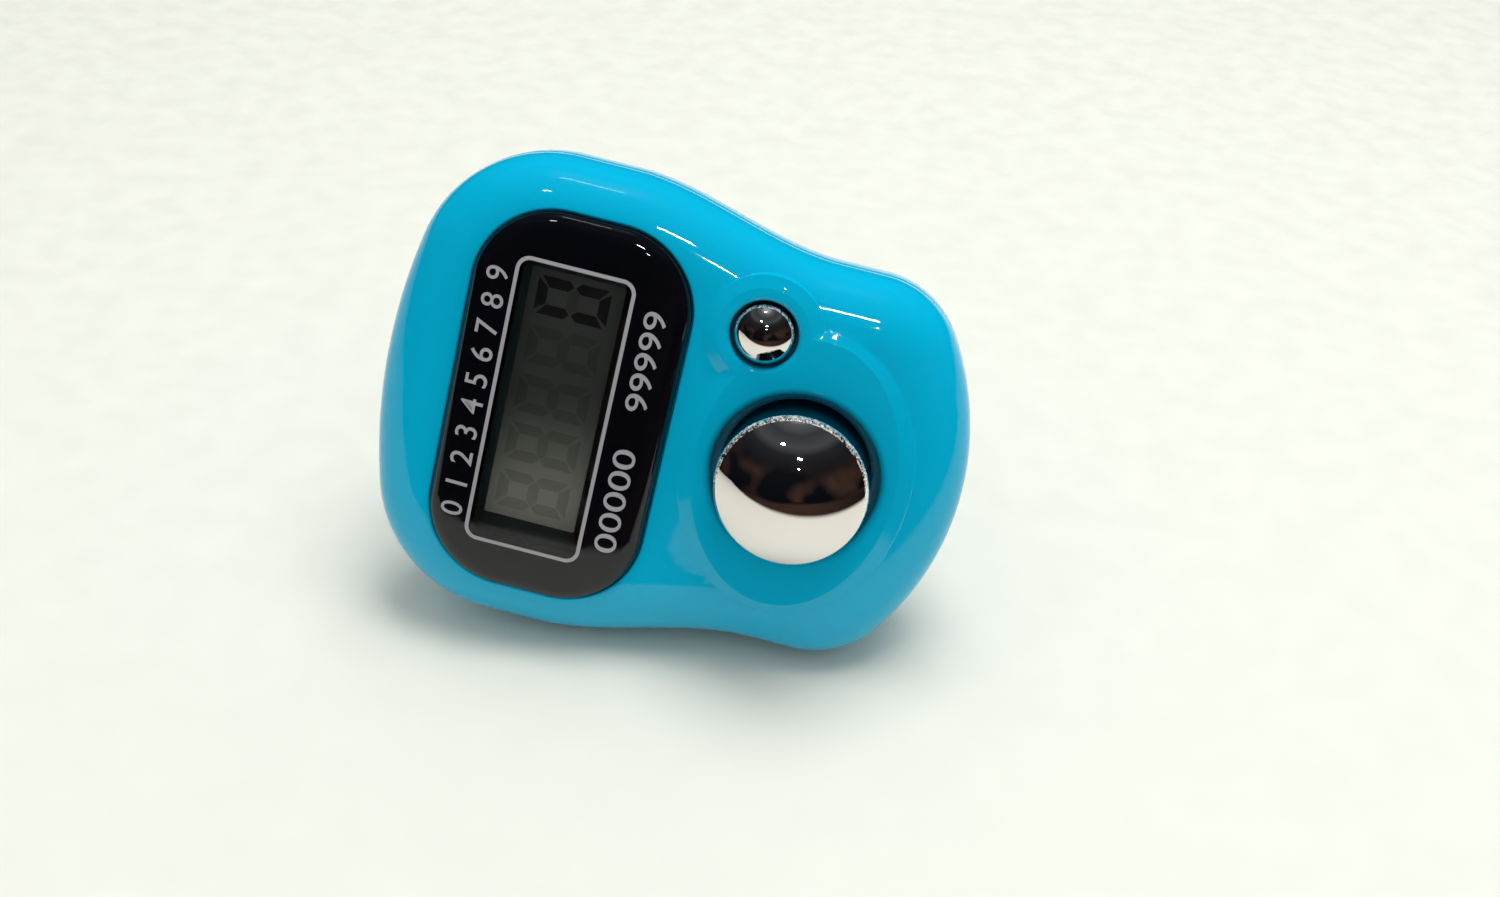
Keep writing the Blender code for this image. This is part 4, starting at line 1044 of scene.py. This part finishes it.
def rippled(tree, place, size_mm, detail, depth_mm, strength=1.0, **under):
    """Surface ripple or grain of a real size and depth, over another normal if one is given."""
    waves = node(tree, "ShaderNodeTexNoise", Vector=place, Scale=1000 / size_mm, Detail=detail)
    return node(tree, "ShaderNodeBump", Strength=strength, Distance=depth_mm * MM, Height=waves, **under)


def moulded_plastic(name, colour, darker, roughness, ripple_mm=1.6, ripple=0.004, grain_mm=None, ior=1.53):
    """Moulded plastic, rubber or resin: even colour that drifts a little, the slight ripple of its tool,
    and a haze of handling that softens the gloss in patches; grain_mm adds a spark-eroded texture."""
    made, tree, place = patterned(name)
    drift = node(tree, "ShaderNodeTexNoise", Vector=place, Scale=1000 / 9.0, Detail=2.0)
    tint = node(tree, "ShaderNodeMix", {"data_type": "RGBA"}, i0=drift, i6=linear(colour), i7=linear(darker))
    rough = hazy(tree, place, 3.0, 4.0, (0.35, 0.75), roughness * 0.75, roughness * 1.4)
    bump = rippled(tree, place, ripple_mm, 1.0, ripple)
    if grain_mm:
        bump = rippled(tree, place, grain_mm, 3.0, 0.02, 0.5, Normal=bump)
    shader = node(tree, "ShaderNodeBsdfPrincipled", Base_Color=tint.outputs[2], Roughness=rough, IOR=ior,
                  Normal=bump)
    node(tree, "ShaderNodeOutputMaterial", Surface=shader)
    return made


def plated(name, colour, roughness, ripple_mm=1.1, ripple=0.0015, brushed_mm=None):
    """Plated or bare metal: its gloss follows the slight ripple of what it covers, with a faint haze;
    brushed_mm adds the fine lines that rolling or turning leaves."""
    made, tree, place = patterned(name)
    bump = rippled(tree, place, ripple_mm, 2.0, ripple)
    if brushed_mm:
        squeeze = node(tree, "ShaderNodeMapping", Vector=place, Scale=(0.04, 1.0, 1.0))
        bump = rippled(tree, squeeze, brushed_mm, 2.0, 0.01, 0.4, Normal=bump)
    rough = hazy(tree, place, 0.8, 3.0, (0.3, 0.8), roughness * 0.6, roughness * 1.6)
    shader = node(tree, "ShaderNodeBsdfPrincipled", Base_Color=linear(colour), Metallic=1.0, Roughness=rough,
                  Normal=bump)
    node(tree, "ShaderNodeOutputMaterial", Surface=shader)
    return made


def crinkled_plating(name):
    """Chrome with a crinkle over an edge, 0.2 mm grain, and painted highlight: matt white grains between mirror
    flecks stand in for the bright reflection along the rim.
    """
    made, tree, place = patterned(name)
    grain = node(tree, "ShaderNodeTexNoise", Vector=place, Scale=1000 / 0.2, Detail=2.0, Distortion=0.4)
    bump = node(tree, "ShaderNodeBump", Strength=1.0, Distance=0.035 * MM, Height=grain)
    # Painted highlight: where the grain is low the rim turns from mirror metal to matt white, so it reads bright
    mirror = node(tree, "ShaderNodeMapRange", i0=grain, i1=0.36, i2=0.6, i3=0.4, i4=1.0)
    rough = node(tree, "ShaderNodeMapRange", i0=grain, i1=0.36, i2=0.6, i3=0.3, i4=0.08)
    shader = node(tree, "ShaderNodeBsdfPrincipled", Base_Color=linear("F6F1EC"), Metallic=mirror, Roughness=rough,
                  Normal=bump)
    node(tree, "ShaderNodeOutputMaterial", Surface=shader)
    return made


def clear_window(name):
    """Clear polished acrylic over the display: it adds only its surface gloss to what lies behind."""
    made, tree, place = patterned(name)
    through = node(tree, "ShaderNodeBsdfTransparent", Color=(0.95, 0.955, 0.95, 1.0))
    rough = hazy(tree, place, 2.0, 3.0, (0.3, 0.8), 0.02, 0.06)
    gloss = node(tree, "ShaderNodeBsdfGlossy", Color=(1.0, 1.0, 1.0, 1.0), Roughness=rough)
    edge = node(tree, "ShaderNodeFresnel", IOR=1.49)
    mixed = node(tree, "ShaderNodeMixShader", i0=edge, i1=through, i2=gloss)
    node(tree, "ShaderNodeOutputMaterial", Surface=mixed)
    return made


def polariser_film(name, upper, lower):
    """Polarising film over the display: a faint sheen, and painted shade that darkens it towards its upper end."""
    made, tree, place = patterned(name)
    height = node(tree, "ShaderNodeSeparateXYZ", Vector=place).outputs["Z"]
    # Painted shade: by height, from the pale lower colour at the sheet's lower end to the dark upper colour just
    # past its middle
    ends = [(CASE @ Vector((SHEET_CENTRE[0], y, GLASS_TOP))).z for y in (-SHEET_SIZE[1] / 2, 1.0)]
    share = node(tree, "ShaderNodeMapRange", {"interpolation_type": "SMOOTHSTEP"},
                 i0=height, i1=ends[0], i2=ends[1])
    tint = node(tree, "ShaderNodeMix", {"data_type": "RGBA"}, i0=share, i6=linear(lower), i7=linear(upper))
    rough = hazy(tree, place, 3.0, 4.0, (0.35, 0.75), 0.1, 0.2)
    shader = node(tree, "ShaderNodeBsdfPrincipled", Base_Color=tint.outputs[2], Roughness=rough, IOR=1.5)
    node(tree, "ShaderNodeOutputMaterial", Surface=shader)
    return made


def layered_elastomer(name):
    """The display's connector: carbon-black and pale silicone layers in turn, 0.18 mm apart, seen as fine
    stripes along the strip."""
    made, tree, place = patterned(name)
    turned = node(tree, "ShaderNodeMapping", Vector=place, Rotation=STRIPE_TURN)
    across = node(tree, "ShaderNodeSeparateXYZ", Vector=turned).outputs["Y"]
    phase = node(tree, "ShaderNodeMath", {"operation": "PINGPONG"}, i0=across, i1=0.09 * MM)
    layer = node(tree, "ShaderNodeMath", {"operation": "GREATER_THAN"}, i0=phase, i1=0.045 * MM)
    tint = node(tree, "ShaderNodeMix", {"data_type": "RGBA"}, i0=layer, i6=linear("17171A"), i7=linear("C98F86"))
    bump = rippled(tree, place, 0.3, 3.0, 0.02, 0.6)
    shader = node(tree, "ShaderNodeBsdfPrincipled", Base_Color=tint.outputs[2], Roughness=0.65, Normal=bump)
    node(tree, "ShaderNodeOutputMaterial", Surface=shader)
    return made


def solder_mask_board(name):
    """Glass-fibre board under green solder mask: copper tracks show as a lighter green, slightly raised,
    over the cloth's 0.5 mm weave."""
    made, tree, place = patterned(name)
    lines = node(tree, "ShaderNodeTexVoronoi", {"feature": "DISTANCE_TO_EDGE", "distance": "EUCLIDEAN"},
                 Vector=place, Scale=1000 / 3.5)
    track = node(tree, "ShaderNodeMapRange", i0=lines, i1=0.05, i2=0.09, i3=1.0, i4=0.0)
    tint = node(tree, "ShaderNodeMix", {"data_type": "RGBA"}, i0=track, i6=linear("0E5A2B"), i7=linear("2C8A48"))
    threads = [node(tree, "ShaderNodeTexWave", {"bands_direction": way}, Vector=place, Scale=1000 / 0.5 / 20 * 3.14)
               for way in ("X", "Z")]
    cloth = node(tree, "ShaderNodeMath", {"operation": "MULTIPLY"}, i0=threads[0], i1=threads[1])
    bump = node(tree, "ShaderNodeBump", Strength=0.3, Distance=0.01 * MM, Height=cloth)
    bump = node(tree, "ShaderNodeBump", Strength=1.0, Distance=0.03 * MM, Height=track, Normal=bump)
    shader = node(tree, "ShaderNodeBsdfPrincipled", Base_Color=tint.outputs[2], Roughness=0.35, Normal=bump)
    node(tree, "ShaderNodeOutputMaterial", Surface=shader)
    return made


def repaint(node_name, finish):
    """Give a CAD node that keeps its own mesh its finish."""
    mesh_object = frame["nodes"][node_name]
    if not mesh_object.material_slots:
        mesh_object.data.materials.append(finish)
    for slot in mesh_object.material_slots:
        slot.material = finish


def dress():
    """Make every piece, put it on its body and give it its finish."""
    # Polished ABS coloured in the mass: a saturated, even turquoise with a sharp wet sheen
    turquoise = moulded_plastic("gloss_abs_turquoise", "04ABD1", "04A5CB", 0.03, ior=1.42)
    # Acrylic sprayed black behind: deep black under a clear gloss, like still water
    black = moulded_plastic("black_backed_acrylic", "06070C", "08080D", 0.03, ripple_mm=5.0, ripple=0.002, ior=1.49)
    clear = clear_window("clear_acrylic_window")
    # Screen-printed silver ink: pale grey, nearly matt, with the print's fine grain
    ink = moulded_plastic("silver_screen_ink", "A5A2A6", "959296", 0.32, ripple_mm=0.3)
    display = {
        # Float glass over the dark inside of the case: a near-black teal edge with a hard gloss
        "surround": moulded_plastic("display_glass_edge", "3A4847", "303C3B", 0.08, ripple=0.001),
        # Polariser film: grey-olive and faintly glossy, with painted shade that darkens it towards its upper end
        "sheet": polariser_film("display_polariser", "5A5C59", "B8B8AC"),
        # A black strip at the sheet's edge: painted shade for the dark gap there
        "mask": moulded_plastic("black_glass_ink", "0B0B0C", "0E0E0F", 0.3),
        # Liquid crystal where it is switched on, and where it is at rest and only just shows; the resting segments
        # carry the film's painted shade
        "lit": moulded_plastic("dark_segments", "2A2A27", "262622", 0.2),
        "idle": polariser_film("idle_segments", "50524F", "A4A496"),
    }
    # Bright chrome plated on ABS: a clean mirror with a slight orange-peel ripple
    chrome = plated("chrome_plated_abs", "E9E3E0", 0.025)
    # The same chrome with a crinkle over the edge, and painted highlight: matt white grains make a bright, broken
    # rim
    rim_crinkle_and_painted_highlight = crinkled_plating("chrome_over_the_edge")
    # The dome's straight side: chrome darkened to a blue-black mirror, painted shade for the shadowed gap round the
    # dome
    shade_painted_side = plated("smoked_nickel_side", "3A5563", 0.12, ripple_mm=0.8)
    # Bare ABS on the flange, dyed blue: a dull glow at the bottom of the gap
    flange = moulded_plastic("bare_blue_abs", "1593B4", "128CAC", 0.3)
    platings = [chrome, rim_crinkle_and_painted_highlight, shade_painted_side, flange]
    # Soft PVC with a fine spark-eroded grain: a satin turquoise
    pvc = moulded_plastic("soft_pvc_turquoise", "07A6CC", "059FC4", 0.34, grain_mm=0.25)
    # Drawn steel wire, ground bright
    steel = plated("bright_steel_wire", "BDBDBF", 0.16, brushed_mm=0.2)
    # Zinc-plated steel: a cool grey with a soft shine
    zinc = plated("zinc_plated_steel", "B4B7BA", 0.24, ripple_mm=0.4, ripple=0.006)
    # Moulded silicone: milky grey and soft, with a dusty bloom
    silicone = moulded_plastic("moulded_silicone", "BDBDB6", "AFAFA8", 0.55, grain_mm=0.3, ior=1.41)
    # Carbon-filled rubber: dead black and matt
    carbon = moulded_plastic("carbon_filled_rubber", "151516", "1D1D1E", 0.75, grain_mm=0.2)
    springs = [*rubber_spring("count", COUNT_CENTRE, COUNT_SPRING, silicone, carbon),
               *rubber_spring("reset", RESET_CENTRE, RESET_SPRING, silicone, carbon)]
    pin, stud = band_fittings(steel, turquoise)
    groups = {
        "case": [front_shell(turquoise), back_shell(turquoise), display_lens(black, clear, ink),
                 printed_numerals(ink), *display_panel(display), case_screws(zinc), pin, stud, *springs],
        "count_key": [button("count_dome", COUNT_CENTRE, COUNT_RADIUS, COUNT_SHOULDER, COUNT_RISE, COUNT_ROUNDING,
                             COUNT_HOLE, COUNT_SPRING, platings)],
        "reset_key": [button("reset_dome", RESET_CENTRE, RESET_RADIUS, RESET_SHOULDER, RESET_RISE, RESET_ROUNDING,
                             RESET_HOLE, RESET_SPRING, platings)],
        "band": [finger_band(pvc)],
    }
    for body, pieces in groups.items():
        for made in pieces:
            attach(made, body)
    stands_for = {
        "front_shell": ["front_case"], "back_shell": ["back_case"], "lens": ["display_lens"],
        "count_dome": ["count_button"], "reset_dome": ["reset_button"], "strap": ["finger_band"],
        "hinge_pin": ["band_pin"], "strap_stud": ["band_stud"], "display_glass": ["lcd_front_glass"],
        "case_screws": ["case_screw_1", "case_screw_2", "case_screw_3", "case_screw_4"],
        "count_silicone_dome": ["count_rubber_dome"], "count_carbon_pill": ["count_contact_pill"],
        "reset_silicone_dome": ["reset_rubber_dome"], "reset_carbon_pill": ["reset_contact_pill"],
    }
    for name, nodes in stands_for.items():
        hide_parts(*nodes)
    dress_inside(silicone, carbon)


def dress_inside(silicone, carbon):
    """Finishes of the CAD nodes that stay: everything closed in the case."""
    # Nickel-plated spring bronze, rolled: a yellower grey
    bronze = plated("plated_spring_bronze", "C9B68E", 0.26, brushed_mm=0.15)
    finishes = {
        # Float glass seen edge-on: grey-green and hard
        "lcd_rear_glass": moulded_plastic("float_glass_plate", "9DB0A8", "92A69E", 0.05, ripple=0.001, ior=1.52),
        # Rolled aluminium foil behind the glass: fine lines and a soft shine
        "lcd_reflector": plated("rolled_reflector_foil", "C3C6C0", 0.32, brushed_mm=0.12),
        "zebra_strip": layered_elastomer("layered_elastomer"),
        "circuit_board": solder_mask_board("green_solder_mask"),
        # Epoxy poured over the bonded chip: black, glossy and a little lumpy
        "controller_blob": moulded_plastic("black_epoxy_resin", "0A0A0B", "121213", 0.22, 0.9, 0.03),
        # Fired thick film on a chip resistor: black glaze with a fine grain
        "timing_resistor": moulded_plastic("black_thick_film", "121214", "1C1C1F", 0.4, 0.2, 0.01),
        # Bare sintered ceramic: matt tan, slightly sandy
        "filter_capacitor": moulded_plastic("tan_ceramic", "A08052", "8E6F45", 0.55, 0.15, 0.012),
        "count_rubber_dome": silicone, "reset_rubber_dome": silicone,
        "count_contact_pill": carbon, "reset_contact_pill": carbon,
        # Nickel-plated cell can: warm grey with the faint lines of drawing
        "button_cell": plated("nickel_plated_can", "B9B4AA", 0.22, brushed_mm=0.3),
        "cell_spring": bronze, "cell_clip": bronze,
    }
    for name, finish in finishes.items():
        repaint(name, finish)


def flat_sheet(name, half, far, height):
    """A level sheet from -half to half along X, and from -half to far along Y."""
    mesh = bpy.data.meshes.new(name)
    corners = [(-half, -half, height), (half, -half, height), (half, far, height), (-half, far, height)]
    mesh.from_pydata(corners, [], [(0, 1, 2, 3)])
    return show(name, mesh)


def set_stage():
    """Pale floor, soft light and the camera at the photograph's angle."""
    floor = flat_sheet("floor", FLOOR_HALF, FLOOR_HALF, 0.0)
    # A pale board: off-white and matt, just uneven enough to hold a shadow
    floor.data.materials.append(moulded_plastic("pale_board", "E2E3D8", "DFE0D5", 0.6, 4.0, 0.004))
    world = bpy.data.worlds.new("soft_room")
    bpy.context.scene.world = world
    world.use_nodes = True
    tree = world.node_tree
    tree.nodes.clear()
    air = node(tree, "ShaderNodeBackground", Color=(0.97, 0.99, 1.0, 1.0), Strength=SKY_STRENGTH)
    node(tree, "ShaderNodeOutputWorld", Surface=air)
    key = bpy.data.lights.new("overhead_softbox", "AREA")
    key.shape = "RECTANGLE"
    key.size, key.size_y = SOFTBOX_SIZE
    key.energy = SOFTBOX_WATTS
    holder = show("overhead_softbox", key)
    holder.location = SOFTBOX_PLACE
    holder.rotation_euler = (Vector((0, 0, 0.01)) - holder.location).to_track_quat("-Z", "Y").to_euler()
    holder.visible_glossy = False
    dim_room()
    lamp_strips()
    eye = bpy.data.cameras.new("photo_view")
    eye.lens = 44.1
    eye.sensor_width = 36.0
    eye.clip_start = 0.005
    camera = show("photo_view", eye)
    turn = CASE.to_3x3().normalized()
    axes = [turn @ Vector(axis).normalized() for axis in (CAMERA_RIGHT, CAMERA_UP, [-c for c in CAMERA_FORWARD])]
    camera.matrix_world = Matrix.Translation(CASE @ Vector(CAMERA_PLACE)) @ Matrix(axes).transposed().to_4x4()
    bpy.context.scene.camera = camera
    bpy.context.scene.view_settings.view_transform = "Standard"


def reflected_only(made):
    """Keep a stage piece out of everything but reflections."""
    for kind in ("camera", "diffuse", "shadow", "transmission", "volume_scatter"):
        setattr(made, "visible_" + kind, False)


def room_colour(tree, place):
    """The dim room's colour by direction: near-black, with warm patches, and greyer overhead."""
    spot = node(tree, "ShaderNodeSeparateXYZ", Vector=place)
    share = node(tree, "ShaderNodeMath", {"operation": "DIVIDE"}, i0=spot.outputs["Z"], i1=ROOM_RADIUS)
    shade = node(tree, "ShaderNodeValToRGB", Fac=share)
    steps = [(0.0, "0C0E14"), (0.45, "121318"), (0.70, "26282C"), (0.79, "4A4D50"), (0.90, "3A3D41"),
             (0.97, "5A5E62"), (0.995, "A4A9AC")]
    ramp = shade.color_ramp
    for i, (where, colour) in enumerate(steps):
        stop = ramp.elements[i] if i < 2 else ramp.elements.new(where)
        stop.position = where
        stop.color = linear(colour)
    folds = node(tree, "ShaderNodeTexNoise", Vector=place, Scale=2.6, Detail=1.5)
    patch = node(tree, "ShaderNodeMapRange", i0=folds, i1=0.48, i2=0.78, i3=0.0, i4=1.0)
    low = node(tree, "ShaderNodeMapRange", i0=share, i1=0.3, i2=0.6, i3=1.0, i4=0.0)
    warm = node(tree, "ShaderNodeMath", {"operation": "MULTIPLY"}, i0=patch, i1=low)
    mixed = node(tree, "ShaderNodeMix", {"data_type": "RGBA"}, i0=warm, i6=shade, i7=linear("4C382E"))
    return mixed.outputs[2]


def dim_room():
    """The dim room round the table, which only polished surfaces show."""
    finish, tree, place = patterned("dim_room_cloth")
    glow = node(tree, "ShaderNodeEmission", Color=room_colour(tree, place), Strength=1.0)
    node(tree, "ShaderNodeOutputMaterial", Surface=glow)
    skin = Skin()
    rings = []
    for i in range(17):
        angle = -0.02 + (math.pi / 2 - 0.02) * i / 16
        ring = circle((0.0, 0.0), ROOM_RADIUS * math.cos(angle), 48)
        rings.append(at_height(ring, ROOM_RADIUS * math.sin(angle)))
    made = skin.tube(rings)
    skin.face(made[-1])
    reflected_only(loose_piece("dim_room", skin, [finish]))
    finish, tree, place = patterned("table_end_shade")
    spot = node(tree, "ShaderNodeSeparateXYZ", Vector=place)
    away = node(tree, "ShaderNodeMath", {"operation": "MULTIPLY_ADD"},
                i0=spot.outputs["X"], i1=-TABLE_SLANT, i2=spot.outputs["Y"])
    past = node(tree, "ShaderNodeMapRange", {"interpolation_type": "SMOOTHSTEP"}, i0=away, i1=TABLE_END + 0.010,
                i2=TABLE_END - 0.012)
    glow = node(tree, "ShaderNodeEmission", Color=room_colour(tree, place), Strength=1.0)
    through = node(tree, "ShaderNodeBsdfTransparent")
    mixed = node(tree, "ShaderNodeMixShader", i0=past, i1=through, i2=glow)
    node(tree, "ShaderNodeOutputMaterial", Surface=mixed)
    shade = flat_sheet("table_end", ROOM_RADIUS, 0.0, 0.0004)
    shade.data.materials.append(finish)
    reflected_only(shade)


def lamp_strips():
    """Lamps that only polished surfaces show: each is a strip through a few directions, in degrees wide."""
    strips = (
        ("tube_lamp", ((0.065, -0.735, 0.674), (0.135, -0.735, 0.664)), 1.5, 130.0),
        ("lower_lamp", ((0.085, -0.84, 0.538), (0.108, -0.84, 0.533)), 1.0, 100.0),
        ("soft_lamp", ((-0.23, -0.55, 0.80), (-0.17, -0.56, 0.81)), 1.6, 40.0),
        ("roof_lamp", ((-0.10, -0.10, 0.990), (0.02, -0.10, 0.995)), 1.2, 14.0),
    )
    for name, directions, width, strength in strips:
        finish, tree = finish_tree(name)
        glow = node(tree, "ShaderNodeEmission", Color=(1.0, 0.99, 0.96, 1.0), Strength=strength)
        node(tree, "ShaderNodeOutputMaterial", Surface=glow)
        points = [Vector(direction).normalized() for direction in directions]
        half = math.radians(width) / 2
        skin = Skin()
        for start, end in zip(points, points[1:]):
            aside = start.cross(end).normalized() * half
            corners = [start - aside, end - aside, end + aside, start + aside]
            skin.face(skin.ring([corner * LAMP_DISTANCE for corner in corners]))
        reflected_only(loose_piece(name, skin, [finish]))


dress()
set_stage()
